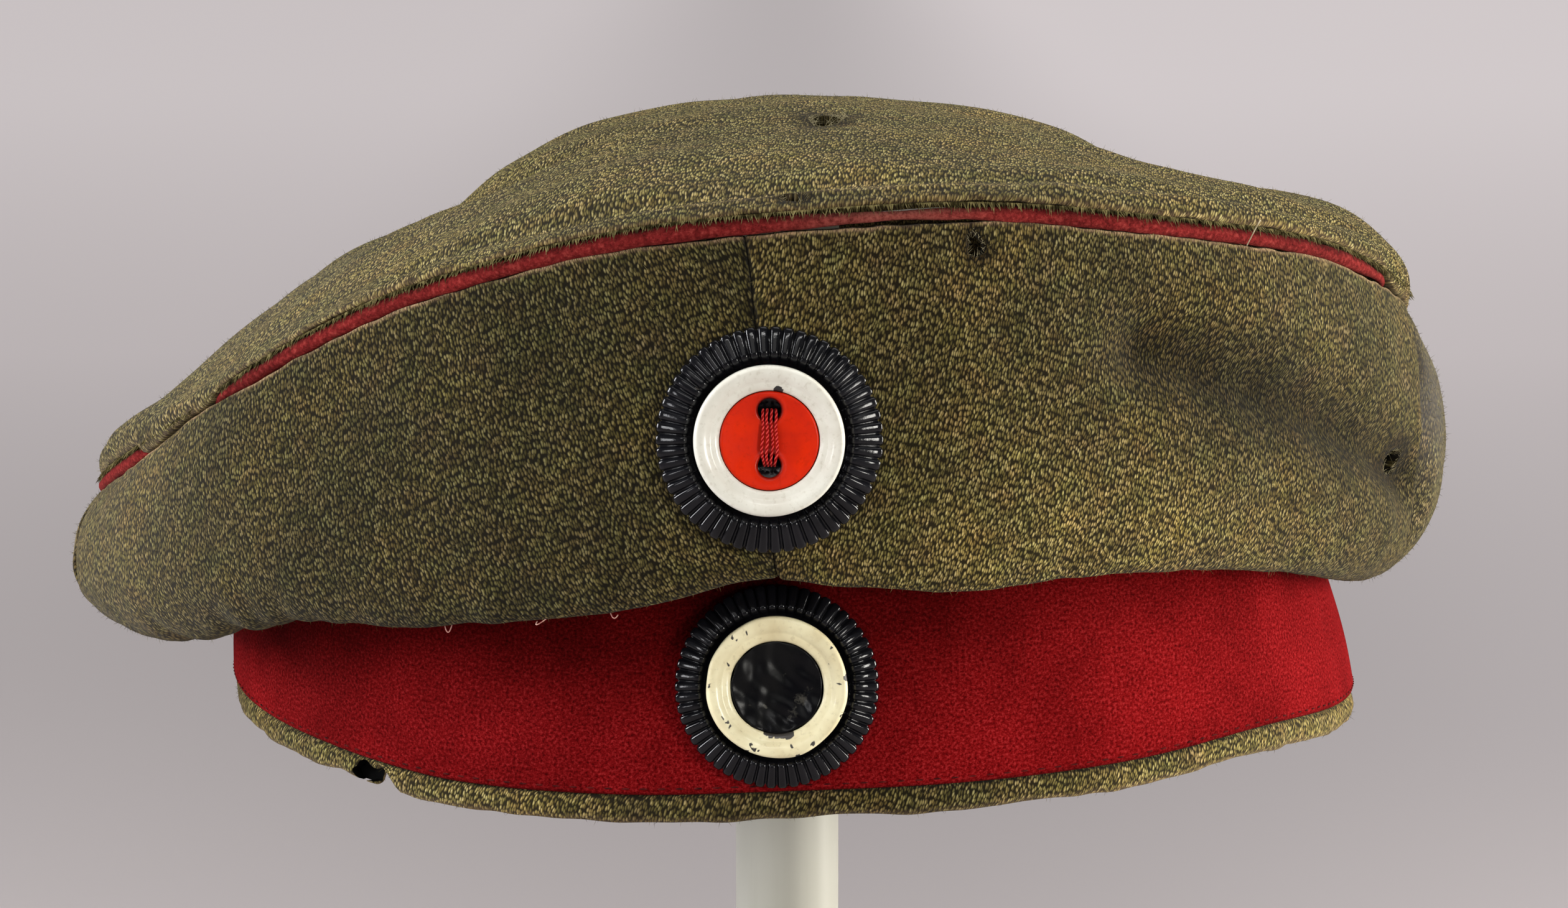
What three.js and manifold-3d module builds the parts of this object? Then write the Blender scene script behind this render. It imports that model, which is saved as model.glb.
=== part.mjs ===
// A soldier's soft field cap on a plain post stand: a slouching grey-green wool crown of a top disc and
// four side panels, red piping in the top seam, a red band over a grey-green headband, and two cockades.
// Millimetres, +Z up. The cap faces -Y, and the origin is the middle of the stand's foot.
import * as THREE from "three";
import { mergeVertices } from "three/addons/utils/BufferGeometryUtils.js";
import Module from "manifold-3d";

// Driving dimensions
const RIM_HEIGHT = 110; // the cap's rim above the table
const HEAD_WIDTH = 175.5; // outside of the band, side to side
const HEAD_LENGTH = 192; // outside of the band, front to back
const HEAD_SHIFT = 1.25; // the band's middle, to the right of the post
const HEAD_SQUARENESS = 2.15; // 2 is a plain oval, and more is squarer
const BAND_HEIGHT = 38;
const BAND_CURVE = 1.5; // 1 leans the band in evenly, and more keeps it upright low down
const HEM_HEIGHT = 4.2; // the grey-green edge that shows under the red band
const CROWN_PEAK = 96; // the top of the crown above the rim
const CROWN_CLOTH = 2;
const BAND_CLOTH = 1.5;
const PIPING_RADIUS = 1.1;
const PIPING_SUNK = 0.6; // share of its radius by which the piping sits inside the seam
const ROLL_BULGE = 0.14; // how far the top swells over the piping, for each millimetre of its roll
const GAP = 0.3; // clearance between neighbouring pieces
const SHOULDER_DROP = 0.15; // how soon the side panels turn down from the piping, from 0 to about 0.5
const LEG_SLACK = 0.5; // how far the crown's turned-in edge hangs clear of the band
const SEAM_CLEARANCE = 0.7; // of the crown's sewn edge from the band that it hangs beside
const POST_RADIUS = 8.1;

// How finely the cloth is faceted
const TURN_STEPS = 64;
const DROP_ROWS = 5;
const UNDER_ROWS = 3;
const LEG_ROWS = 3;
const WALL_ROWS = DROP_ROWS + UNDER_ROWS + LEG_ROWS;
const ROLL_ROWS = 3;
const DOME_ROWS = 5;
const BAND_ROWS = 3;
const PIPING_SIDES = 6;

// One section of the cap for each row. turn is in degrees from the front towards +X, and the rest is in
// millimetres: heights are above the nominal rim, and the "Out" columns are outwards from the band.
//   rim       lift of the rim
//   lean      how far the band's upper edge leans in
//   fold...   the lowest line of the crown, where it hangs over the band
//   belly...  the crown's widest line
//   pipe...   the piped seam between the side panels and the top
//   roll...   the soft ridge of the top just inside the piping: its rise, and its distance in
const SECTION_COLUMNS = [
  "turn", "rim", "lean", "foldOut", "fold", "bellyOut", "belly", "pipeOut", "pipe", "rollUp", "rollIn",
];
const SECTIONS = [
  [-180, 2, 4, 7, 24, 14, 38, 11, 60, 9, 10],
  [-135, 3, 3, 10, 19, 19, 32, 15, 48, 10, 10],
  [-90, 4, 1, 13, 15, 25, 25, 20, 36, 12.5, 10.5],
  [-68, 3, 1, 12, 17.5, 22, 28, 18.5, 43, 11.5, 9],
  [-50, 1.5, 2, 10, 22.2, 17, 35, 15, 56.6, 6.4, 8],
  [-40, 0.2, 2.5, 9, 25.9, 15, 38.6, 13, 65.3, 5.2, 8],
  [-30, -1, 3, 8, 26.4, 13, 42, 11, 73.1, 4.9, 8],
  [-14, -1, 4, 6.5, 29.8, 10.5, 47, 8.5, 81.4, 4.1, 8],
  [0, 0, 4, 5.5, 33.7, 9.5, 50, 7, 84.5, 3.9, 8],
  [15, 0.7, 4, 5, 32.8, 9, 50, 6.5, 85.5, 4.2, 8],
  [30, 1.8, 4.5, 5, 34.5, 9, 50, 7, 82.9, 4.9, 8],
  [48, 3.5, 5.5, 4.5, 30.5, 10, 47, 8, 78, 5.5, 9],
  [68, 2, 9.5, 1.5, 25, 11.5, 44, 8.3, 69, 11, 11.5],
  [90, 1, 11.5, 0, 22.5, 14, 44, 5.5, 62, 19, 14],
  [135, 2, 5, 5, 22, 14, 40, 10, 59, 12, 11],
].map((row) => Object.fromEntries(SECTION_COLUMNS.map((name, i) => [name, row[i]])));

// Dents and creases pressed into the cloth. Each runs straight from one place to another. A place is a
// turn in degrees and a distance from the piping along the cloth, and a depth below 0 is a bump.
const FOLD_COLUMNS = ["cloth", "fromTurn", "fromPiping", "toTurn", "toPiping", "halfWidth", "depth"];
const FOLDS = [
  ["wall", 29, 16.5, 50, 23.5, 6, 3.2], // long crease across the right of the front
  ["wall", 50, 23.5, 67, 27.5, 6, 3.6],
  ["wall", 72.5, 2, 72, 32, 4, 2.2], // the right side seam is drawn in
  ["wall", -66, 34, -56, 36, 6, -1], // lobe that hangs at the left
  ["top", -34, 13, 64, 14, 4, 1.3], // crease behind the ridge, along the front
  ["top", -125, 66, -55, 66, 13, 3.6], // the top sags on its way down to the left
  ["top", 70, 47, 125, 48, 13, 4.8], // hollow between the right-hand ridge and the dome
].map((row) => Object.fromEntries(FOLD_COLUMNS.map((name, i) => [name, row[i]])));

// The side panels, each with the turn of the seam that it starts from, at the piping and at the band
const PANELS = [
  { name: "crown_panel_front_right", top: -3.3, bottom: 0.3 },
  { name: "crown_panel_back_right", top: 72.5, bottom: 72 },
  { name: "crown_panel_back_left", top: 180, bottom: 180 },
  { name: "crown_panel_front_left", top: 282, bottom: 280 },
];

// Where the cloth all but swallows the piping, and how much thinner it shows there
const TUCK = { turn: -54, halfWidth: 6, share: 0.6 };

// Moth holes. in is the distance from the piping along the cloth.
const HOLES = [
  { node: "crown_top", cloth: "top", turn: 8, in: 63, width: 5.8, height: 9 },
  { node: "crown_panel_front_right", cloth: "wall", turn: 14.5, in: 2.9, width: 2.4, height: 2.6 },
  { node: "crown_panel_front_right", cloth: "wall", turn: 66, in: 25.5, width: 4.6, height: 3 },
];
const HEM_TEAR = { turn: -41, up: 1.3, width: 4.4, height: 3 };
const HOLE_SIDES = 7;

// The cockades: pressed metal discs with a fluted black edge, a pale ring and a dished centre
const FLUTES = 54;
const UPPER_COCKADE = {
  name: "upper_cockade", x: -2.5, up: 54.5, lean: 3, radius: 15.6, ring: 10.4, centre: 6.8,
  ringPaint: "white", centrePaint: "red", sewn: true,
};
const LOWER_COCKADE = {
  name: "lower_cockade", x: -1.5, up: 19, lean: 6, radius: 14.3, ring: 9.9, centre: 6.4,
  ringPaint: "cream", centrePaint: "black", sewn: false,
};
const FLUTE_DEPTH = 0.6;
const ROUND_SIDES = 24; // of the rings and centres
const FLUTE_EDGE = 0.7; // thickness at the rim of the flutes
const FLUTE_RISE = 1.6; // height of the flutes at the pale ring
const RING_RISE = 2; // height of the ring's outer edge
const RING_INNER_RISE = 1.3; // the ring slopes in to this height at the centre
const RING_EDGE = 0.5; // bevel of the ring's outer edge
const CENTRE_FLOOR = 0.4; // thickness of the centre in its middle
const CENTRE_DISH = 0.7; // how much higher its edge is
const SEWING_HOLE = { radius: 1.3, off: 3.8, sides: 10 };
const THREAD_RADIUS = 0.8;
const THREAD_SIDES = 8;

// Stand
const FOOT_RADIUS = 75;
const FOOT_HEIGHT = 14;
const FOOT_ROUND = 4;
const REST_RADIUS = 29; // the mushroom head under the crown
const REST_CURVE = 85;
const REST_EDGE = 9;
const REST_CLEARANCE = 0.5; // under the crown, whose facets cut inside its curve
const REST_CHAMFER = 3;
const FOOT_SIDES = 40;
const POST_SIDES = 16;

const wasm = await Module();
wasm.setup();

const material = (color, roughness, metalness = 0) =>
  new THREE.MeshStandardMaterial({ color, roughness, metalness });
const MATERIALS = {
  wool: material(0x57513a, 0.95),
  redWool: material(0x8f1a1c, 0.95),
  piping: material(0x8a2622, 0.9),
  black: material(0x14141a, 0.3, 0.2),
  white: material(0xddd9c8, 0.4),
  cream: material(0xd8cfa0, 0.45),
  red: material(0xc42410, 0.35),
  thread: material(0xa02030, 0.8),
  stand: material(0xdedcd2, 0.5),
};

// A turn brought between -180 and 180 degrees
const wrap = (turn) => THREE.MathUtils.euclideanModulo(turn + 180, 360) - 180;

// Value of a section column at any turn: a smooth curve through the rows, closed round the cap.
function section(column, turn) {
  const count = SECTIONS.length;
  const wrapped = wrap(turn);
  let at = count - 1;
  while (SECTIONS[at].turn > wrapped) at -= 1;
  const row = (k) => {
    const laps = Math.floor(k / count);
    const source = SECTIONS[k - laps * count];
    return { turn: source.turn + 360 * laps, value: source[column] };
  };
  const [before, low, high, after] = [at - 1, at, at + 1, at + 2].map(row);
  const span = high.turn - low.turn;
  const t = (wrapped - low.turn) / span;
  const slopeLow = ((high.value - before.value) / (high.turn - before.turn)) * span;
  const slopeHigh = ((after.value - low.value) / (after.turn - low.turn)) * span;
  return (
    (2 * t ** 3 - 3 * t ** 2 + 1) * low.value +
    (t ** 3 - 2 * t ** 2 + t) * slopeLow +
    (3 * t ** 2 - 2 * t ** 3) * high.value +
    (t ** 3 - t ** 2) * slopeHigh
  );
}

// Distance of the band's outside from the post's axis
function bandRadius(turn) {
  const side = Math.sin(THREE.MathUtils.degToRad(turn));
  const front = Math.cos(THREE.MathUtils.degToRad(turn));
  const halfWidth = HEAD_WIDTH / 2 + HEAD_SHIFT * Math.sign(side);
  const sum =
    Math.abs(side / halfWidth) ** HEAD_SQUARENESS +
    Math.abs(front / (HEAD_LENGTH / 2)) ** HEAD_SQUARENESS;
  return sum ** (-1 / HEAD_SQUARENESS);
}

// A point on the cap from its turn, its distance from the post and its height above the nominal rim
function place(turn, distance, height) {
  const angle = THREE.MathUtils.degToRad(turn);
  return new THREE.Vector3(
    distance * Math.sin(angle),
    -distance * Math.cos(angle),
    RIM_HEIGHT + height,
  );
}

const bump = (offset, halfWidth) => Math.exp(-((offset / halfWidth) ** 2));

// How deep the folds press a cloth at a turn and a distance from the piping. Where dents overlap, the
// deepest one counts.
function foldDepth(cloth, turn, fromPiping) {
  const perDegree = THREE.MathUtils.degToRad(HEAD_LENGTH / 2);
  const here = new THREE.Vector3(wrap(turn) * perDegree, fromPiping, 0);
  let deepest = 0;
  let raised = 0;
  for (const fold of FOLDS.filter((f) => f.cloth === cloth)) {
    const line = new THREE.Line3(
      new THREE.Vector3(fold.fromTurn * perDegree, fold.fromPiping, 0),
      new THREE.Vector3(fold.toTurn * perDegree, fold.toPiping, 0),
    );
    const nearest = line.closestPointToPoint(here, true, new THREE.Vector3());
    const depth = fold.depth * bump(nearest.distanceTo(here), fold.halfWidth);
    deepest = Math.max(deepest, depth);
    raised = Math.min(raised, depth);
  }
  return deepest + raised;
}

const pipingRadius = (turn) =>
  PIPING_RADIUS * (1 - TUCK.share * bump(wrap(turn) - TUCK.turn, TUCK.halfWidth));

// Share of its sides at which a cubic curve's handles make a quarter of an oval
const ROUND = 0.55;
const bezier = (...points) => new THREE.CubicBezierCurve(...points.map(([x, y]) => new THREE.Vector2(x, y)));

// The outside and inside of a sheet that follows a curve in the plane of a section. The curve's x is the
// distance from the post and its y the height. The inside lies to the right of the way that it runs where
// side is 1, and to the left where it is -1.
function sheet(cloth, turn, points, side) {
  const along = [0];
  for (let i = 1; i < points.length; i += 1) along.push(along[i - 1] + points[i].distanceTo(points[i - 1]));
  const outside = [];
  const inside = [];
  points.forEach((point, i) => {
    const ahead = points[Math.min(i + 1, points.length - 1)];
    const behind = points[Math.max(i - 1, 0)];
    const run = ahead.clone().sub(behind).normalize();
    const inwards = new THREE.Vector2(run.y, -run.x).multiplyScalar(side);
    const pressed = point.clone().addScaledVector(inwards, foldDepth(cloth, turn, along[i]));
    outside.push(pressed);
    inside.push(pressed.clone().addScaledVector(inwards, CROWN_CLOTH));
  });
  inside[0].set(outside[0].x - CROWN_CLOTH, outside[0].y); // the edge at the piping is cut level
  return { outside, inside };
}

// A side panel's section, from the piping out over the belly, under the fold and up to the band
function wallSection(turn) {
  const band = bandRadius(turn);
  const at = (column) => section(column, turn);
  const bandTop = at("rim") + BAND_HEIGHT;
  const [pipeR, bellyR, foldR] = [band + at("pipeOut"), band + at("bellyOut"), band + at("foldOut")];
  const pipeZ = at("pipe") - pipingRadius(turn) - GAP;
  const [bellyZ, foldZ] = [at("belly"), at("fold")];
  const seamR = band - at("lean") + SEAM_CLEARANCE;
  const hang = bandTop - foldZ;
  const seamSlope = (BAND_CURVE * at("lean")) / BAND_HEIGHT;
  const drop = bezier(
    [pipeR, pipeZ],
    [pipeR + ROUND * (bellyR - pipeR), pipeZ - SHOULDER_DROP * (pipeZ - bellyZ)],
    [bellyR, bellyZ + ROUND * (pipeZ - bellyZ)],
    [bellyR, bellyZ],
  );
  const under = bezier(
    [bellyR, bellyZ],
    [bellyR, bellyZ - ROUND * (bellyZ - foldZ)],
    [foldR + ROUND * (bellyR - foldR), foldZ],
    [foldR, foldZ],
  );
  const leg = bezier(
    [foldR, foldZ],
    [foldR - ROUND * (foldR - seamR - seamSlope * hang), foldZ],
    [seamR + ROUND * seamSlope * hang + LEG_SLACK, bandTop - ROUND * hang],
    [seamR, bandTop],
  );
  const points = [
    ...drop.getSpacedPoints(DROP_ROWS),
    ...under.getSpacedPoints(UNDER_ROWS).slice(1),
    ...leg.getSpacedPoints(LEG_ROWS).slice(1),
  ];
  return sheet("wall", turn, points, 1);
}

// The top's section, from the piping up over the ridge and in to the middle of the dome
function topSection(turn) {
  const at = (column) => section(column, turn);
  const pipeR = bandRadius(turn) + at("pipeOut");
  const pipeZ = at("pipe") + pipingRadius(turn) + GAP;
  const [ridgeR, ridgeZ] = [pipeR - at("rollIn"), at("pipe") + at("rollUp")];
  const slope = (2 * (CROWN_PEAK - ridgeZ)) / ridgeR;
  const roll = bezier(
    [pipeR, pipeZ],
    [pipeR + ROLL_BULGE * (ridgeZ - pipeZ), pipeZ + ROUND * (ridgeZ - pipeZ)],
    [ridgeR + ROUND * at("rollIn"), ridgeZ - ROUND * at("rollIn") * slope],
    [ridgeR, ridgeZ],
  );
  const dome = new THREE.QuadraticBezierCurve(
    new THREE.Vector2(ridgeR, ridgeZ),
    new THREE.Vector2(ridgeR / 2, CROWN_PEAK),
    new THREE.Vector2(0, CROWN_PEAK),
  );
  const points = [...roll.getSpacedPoints(ROLL_ROWS), ...dome.getSpacedPoints(DOME_ROWS).slice(1)];
  const top = sheet("top", turn, points, -1);
  top.outside.at(-1).set(0, CROWN_PEAK);
  top.inside.at(-1).set(0, CROWN_PEAK - CROWN_CLOTH);
  return top;
}

// One closed mesh from points in threes, with shared corners joined and collapsed triangles dropped
function weld(corners) {
  const loose = new THREE.BufferGeometry().setFromPoints(corners);
  const joined = mergeVertices(loose, 1e-3);
  const kept = [];
  for (let i = 0; i < joined.index.count; i += 3) {
    const [a, b, c] = [0, 1, 2].map((k) => joined.index.getX(i + k));
    if (a !== b && b !== c && c !== a) kept.push(a, b, c);
  }
  return joined.setIndex(kept);
}

// Skins a row of closed loops. A ring's last loop meets its first, and an open row is capped by joining
// the first half of its end loops to the second half, which runs back beside it.
function loft(loops, ring) {
  const corners = [];
  const quad = (a, b, c, d) => corners.push(a, b, c, a, c, d);
  const size = loops[0].length;
  const spans = ring ? loops.length : loops.length - 1;
  for (let i = 0; i < spans; i += 1) {
    const [here, next] = [loops[i], loops[(i + 1) % loops.length]];
    for (let j = 0; j < size; j += 1) {
      const k = (j + 1) % size;
      quad(here[j], next[j], next[k], here[k]);
    }
  }
  if (!ring) {
    const [first, last] = [loops[0], loops[loops.length - 1]];
    for (let j = 0; j < size / 2 - 1; j += 1) {
      const [far, near] = [size - 2 - j, size - 1 - j];
      quad(first[j], first[j + 1], first[far], first[near]);
      quad(last[near], last[far], last[j + 1], last[j]);
    }
  }
  return weld(corners);
}

const turns = (count) => Array.from({ length: count }, (_, i) => -180 + (360 * i) / count);

// Side panel between two seams, each of which may lean
function panelGeometry(from, to) {
  const steps = Math.round((TURN_STEPS * (to.top - from.top)) / 360);
  const clear = THREE.MathUtils.radToDeg(GAP / HEAD_LENGTH);
  const loops = [];
  for (let i = 0; i <= steps; i += 1) {
    const outside = [];
    const inside = [];
    for (let row = 0; row <= WALL_ROWS; row += 1) {
      const down = row / WALL_ROWS;
      const start = THREE.MathUtils.lerp(from.top, from.bottom, down) + clear;
      const end = THREE.MathUtils.lerp(to.top, to.bottom, down) - clear;
      const turn = THREE.MathUtils.lerp(start, end, i / steps);
      const wall = wallSection(turn);
      outside.push(place(turn, wall.outside[row].x, wall.outside[row].y));
      inside.push(place(turn, wall.inside[row].x, wall.inside[row].y));
    }
    loops.push([...inside, ...outside.reverse()]);
  }
  return loft(loops, false);
}

function topGeometry() {
  const loops = turns(TURN_STEPS).map((turn) => {
    const { outside, inside } = topSection(turn);
    return [...outside, ...inside.reverse()].map((p) => place(turn, p.x, p.y));
  });
  return loft(loops, true);
}

function pipingGeometry() {
  const loops = turns(TURN_STEPS).map((turn) => {
    const radius = pipingRadius(turn);
    const middle = bandRadius(turn) + section("pipeOut", turn) - PIPING_SUNK * radius;
    return Array.from({ length: PIPING_SIDES }, (_, side) => {
      const angle = (2 * Math.PI * (side + 0.5)) / PIPING_SIDES;
      const [out, up] = [radius * Math.cos(angle), radius * Math.sin(angle)];
      return place(turn, middle + out, section("pipe", turn) + up);
    });
  });
  return loft(loops, true);
}

// Outside of the red band at a height above the rim: it bulges low down and leans in above
function bandFace(turn, height) {
  return bandRadius(turn) - section("lean", turn) * (height / BAND_HEIGHT) ** BAND_CURVE;
}

function bandGeometry() {
  const loops = turns(TURN_STEPS).map((turn) => {
    const rim = section("rim", turn);
    const heights = Array.from({ length: BAND_ROWS + 1 }, (_, i) =>
      THREE.MathUtils.lerp(HEM_HEIGHT, BAND_HEIGHT, i / BAND_ROWS),
    );
    const outside = heights.map((h) => place(turn, bandFace(turn, h), rim + h));
    const inside = heights.map((h) => place(turn, bandFace(turn, h) - BAND_CLOTH, rim + h));
    return [...outside, ...inside.reverse()];
  });
  return loft(loops, true);
}

// Headband inside the red band, with a thick turned hem under it
function headbandGeometry() {
  const loops = turns(TURN_STEPS).map((turn) => {
    const rim = section("rim", turn);
    const hemTop = HEM_HEIGHT - GAP;
    const back = BAND_CLOTH + GAP; // outside of the headband, in from the red band's face
    const profile = [
      { in: back + BAND_CLOTH, up: 0.4 },
      { in: back, up: 0 },
      { in: 1, up: 0.2 },
      { in: 0.5, up: 1.2 },
      { in: 0.5, up: hemTop - 0.6 },
      { in: back, up: hemTop },
      { in: back, up: BAND_HEIGHT / 2 },
      { in: back, up: BAND_HEIGHT },
      { in: back + BAND_CLOTH, up: BAND_HEIGHT },
      { in: back + BAND_CLOTH, up: BAND_HEIGHT / 2 },
    ];
    return profile.map((p) => place(turn, bandFace(turn, p.up) - p.in, rim + p.up));
  });
  return loft(loops, true);
}

// Solids for cutting
function solidOf(geometry) {
  const bare = geometry.clone();
  bare.deleteAttribute("normal");
  bare.deleteAttribute("uv");
  const joined = mergeVertices(bare, 1e-3);
  return new wasm.Manifold(
    new wasm.Mesh({
      numProp: 3,
      vertProperties: joined.attributes.position.array,
      triVerts: new Uint32Array(joined.index.array),
    }),
  );
}

function cut(geometry, cutters) {
  let solid = solidOf(geometry);
  for (const cutter of cutters) solid = solid.subtract(solidOf(cutter));
  const mesh = solid.getMesh();
  return new THREE.BufferGeometry()
    .setAttribute("position", new THREE.BufferAttribute(mesh.vertProperties, 3))
    .setIndex(new THREE.BufferAttribute(mesh.triVerts, 1));
}

// A many-sided plug through the cloth at a hole, square to the cloth there
function holeCutter(hole) {
  const profile = hole.cloth === "wall" ? wallSection : topSection;
  const at = (turn, distance) => {
    const points = profile(turn).outside;
    let left = distance;
    for (let i = 1; i < points.length; i += 1) {
      const span = points[i].distanceTo(points[i - 1]);
      if (left <= span || i === points.length - 1) {
        const p = points[i - 1].clone().lerp(points[i], left / span);
        return place(turn, p.x, p.y);
      }
      left -= span;
    }
    return null;
  };
  const middle = at(hole.turn, hole.in);
  const across = at(hole.turn + 1, hole.in).sub(at(hole.turn - 1, hole.in)).normalize();
  const down = at(hole.turn, hole.in + 1).sub(at(hole.turn, hole.in - 1)).normalize();
  const axis = across.clone().cross(down).normalize();
  const frame = new THREE.Matrix4().makeBasis(across, axis, axis.clone().cross(across).negate());
  return new THREE.CylinderGeometry(0.5, 0.5, 4 * CROWN_CLOTH, HOLE_SIDES)
    .scale(hole.width, 1, hole.height)
    .applyMatrix4(frame)
    .translate(middle.x, middle.y, middle.z);
}

function hemTearCutter() {
  const radius = bandRadius(HEM_TEAR.turn);
  const middle = place(HEM_TEAR.turn, radius, section("rim", HEM_TEAR.turn) + HEM_TEAR.up);
  return new THREE.CylinderGeometry(0.5, 0.5, 3 * BAND_CLOTH, HOLE_SIDES)
    .rotateX(Math.PI / 2)
    .scale(HEM_TEAR.width, 1, HEM_TEAR.height)
    .rotateZ(THREE.MathUtils.degToRad(HEM_TEAR.turn))
    .translate(middle.x, middle.y, middle.z);
}

// Pressed disc whose skirt is crimped into flutes: every second spoke is a valley
function flutedGeometry(cockade) {
  const { radius, ring } = cockade;
  const profile = [
    [0, 0],
    [radius, 0],
    [radius, FLUTE_EDGE],
    [ring, FLUTE_RISE],
    [0, FLUTE_RISE],
  ].map(([x, y]) => new THREE.Vector2(x, y));
  const geometry = new THREE.LatheGeometry(profile, 2 * FLUTES);
  const position = geometry.attributes.position;
  for (let spoke = 0; spoke <= 2 * FLUTES; spoke += 1) {
    const first = spoke * profile.length;
    const pull = spoke % 2 ? 1 - FLUTE_DEPTH / radius : 1;
    for (const corner of [first + 1, first + 2]) {
      position.setX(corner, position.getX(corner) * pull);
      position.setZ(corner, position.getZ(corner) * pull);
    }
    if (spoke % 2) position.setY(first + 2, FLUTE_EDGE - 0.5 * FLUTE_DEPTH);
  }
  return geometry;
}

function ringGeometry(cockade) {
  const inner = cockade.centre + GAP;
  const low = FLUTE_RISE + GAP;
  const profile = [
    [inner, low],
    [cockade.ring, low],
    [cockade.ring, low + RING_RISE - RING_EDGE],
    [cockade.ring - RING_EDGE, low + RING_RISE],
    [inner, low + RING_INNER_RISE],
    [inner, low],
  ].map(([x, y]) => new THREE.Vector2(x, y));
  return new THREE.LatheGeometry(profile, ROUND_SIDES);
}

// Height of the dished centre above the cockade's back, at a distance from its middle
const centreTop = (cockade, off) =>
  FLUTE_RISE + GAP + CENTRE_FLOOR + CENTRE_DISH * (off / cockade.centre) ** 2;

function centreGeometry(cockade) {
  const low = FLUTE_RISE + GAP;
  const profile = [new THREE.Vector2(0, low), new THREE.Vector2(cockade.centre, low)];
  for (const share of [1, 0.75, 0.4, 0]) {
    profile.push(new THREE.Vector2(share * cockade.centre, centreTop(cockade, share * cockade.centre)));
  }
  const dish = new THREE.LatheGeometry(profile, ROUND_SIDES);
  if (!cockade.sewn) return dish;
  const { radius, off, sides } = SEWING_HOLE;
  const deep = 4 * centreTop(cockade, off);
  const holes = [-off, off].map((z) =>
    new THREE.CylinderGeometry(radius, radius, deep, sides).translate(0, 0, z),
  );
  return cut(dish, holes);
}

// The sewing thread, one bight out of a hole, over the centre and into the other
function threadGeometry(cockade) {
  const { off } = SEWING_HOLE;
  const over = centreTop(cockade, 0) + THREAD_RADIUS + GAP;
  const half = [
    [FLUTE_RISE + GAP, off],
    [over - THREAD_RADIUS, off],
    [over - 0.25 * THREAD_RADIUS, 0.8 * off],
    [over, 0.4 * off],
  ].map(([height, z]) => new THREE.Vector3(0, height, z));
  const mirrored = half.map(({ y, z }) => new THREE.Vector3(0, y, -z));
  const route = new THREE.CatmullRomCurve3([...mirrored, ...half.reverse()]);
  const outline = new THREE.Shape(
    Array.from({ length: THREAD_SIDES }, (_, i) => {
      const angle = (2 * Math.PI * i) / THREAD_SIDES;
      return new THREE.Vector2(THREAD_RADIUS * Math.cos(angle), THREAD_RADIUS * Math.sin(angle));
    }),
  );
  return new THREE.ExtrudeGeometry(outline, { steps: 12, extrudePath: route });
}

const SEAT_TURNS = 16; // either side of the front
// How far a face leans out along an axis within a disc's reach, which is where the disc's back rests
function seatDistance(face, axis, middle, reach) {
  let furthest = -Infinity;
  for (let turn = -SEAT_TURNS; turn <= SEAT_TURNS; turn += 1) {
    for (const p of face(turn)) {
      const away = p.clone().sub(middle);
      const along = away.dot(axis);
      if (away.addScaledVector(axis, -along).length() <= reach) furthest = Math.max(furthest, along);
    }
  }
  return furthest;
}

function cockadeGroup(cockade, face) {
  const lean = THREE.MathUtils.degToRad(cockade.lean);
  const axis = new THREE.Vector3(0, -Math.cos(lean), Math.sin(lean));
  const middle = new THREE.Vector3(cockade.x, -HEAD_LENGTH / 2, RIM_HEIGHT + cockade.up);
  const group = new THREE.Group();
  const seat = seatDistance(face, axis, middle, cockade.radius + CROWN_CLOTH);
  group.quaternion.setFromUnitVectors(new THREE.Vector3(0, 1, 0), axis);
  group.position.copy(middle).addScaledVector(axis, seat + GAP);
  group.add(piece(`${cockade.name}_flutes`, flutedGeometry(cockade), MATERIALS.black));
  group.add(piece(`${cockade.name}_ring`, ringGeometry(cockade), MATERIALS[cockade.ringPaint]));
  group.add(piece(`${cockade.name}_centre`, centreGeometry(cockade), MATERIALS[cockade.centrePaint]));
  if (cockade.sewn) group.add(piece(`${cockade.name}_thread`, threadGeometry(cockade), MATERIALS.thread));
  return group;
}

// Stand
function turned(profile, sides) {
  const points = profile.map(([x, y]) => new THREE.Vector2(x, y));
  return new THREE.LatheGeometry(points, sides).rotateX(Math.PI / 2);
}

const restTop = RIM_HEIGHT + CROWN_PEAK - CROWN_CLOTH - REST_CLEARANCE;
const restBottom = restTop - REST_EDGE - REST_RADIUS ** 2 / (2 * REST_CURVE);

function standGroup() {
  const foot = [
    [0, 0],
    [FOOT_RADIUS, 0],
    [FOOT_RADIUS, FOOT_HEIGHT - FOOT_ROUND],
    [FOOT_RADIUS - 0.3 * FOOT_ROUND, FOOT_HEIGHT - 0.3 * FOOT_ROUND],
    [FOOT_RADIUS - FOOT_ROUND, FOOT_HEIGHT],
    [0, FOOT_HEIGHT],
  ];
  const post = [
    [0, FOOT_HEIGHT],
    [POST_RADIUS, FOOT_HEIGHT],
    [POST_RADIUS, restBottom],
    [0, restBottom],
  ];
  const rest = [
    [0, restBottom],
    [REST_RADIUS - REST_CHAMFER, restBottom],
    [REST_RADIUS, restBottom + REST_CHAMFER],
  ];
  for (const share of [1, 0.75, 0.5, 0.25, 0]) {
    rest.push([share * REST_RADIUS, restTop - (share * REST_RADIUS) ** 2 / (2 * REST_CURVE)]);
  }
  const group = new THREE.Group();
  group.add(piece("stand_foot", turned(foot, FOOT_SIDES), MATERIALS.stand));
  group.add(piece("stand_post", turned(post, POST_SIDES), MATERIALS.stand));
  group.add(piece("stand_rest", turned(rest, ROUND_SIDES), MATERIALS.stand));
  return group;
}

function piece(name, geometry, look) {
  const mesh = new THREE.Mesh(geometry, look);
  mesh.name = name;
  return mesh;
}

function pierced(name, geometry) {
  const cutters = HOLES.filter((hole) => hole.node === name).map(holeCutter);
  return cutters.length ? cut(geometry, cutters) : geometry;
}

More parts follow.
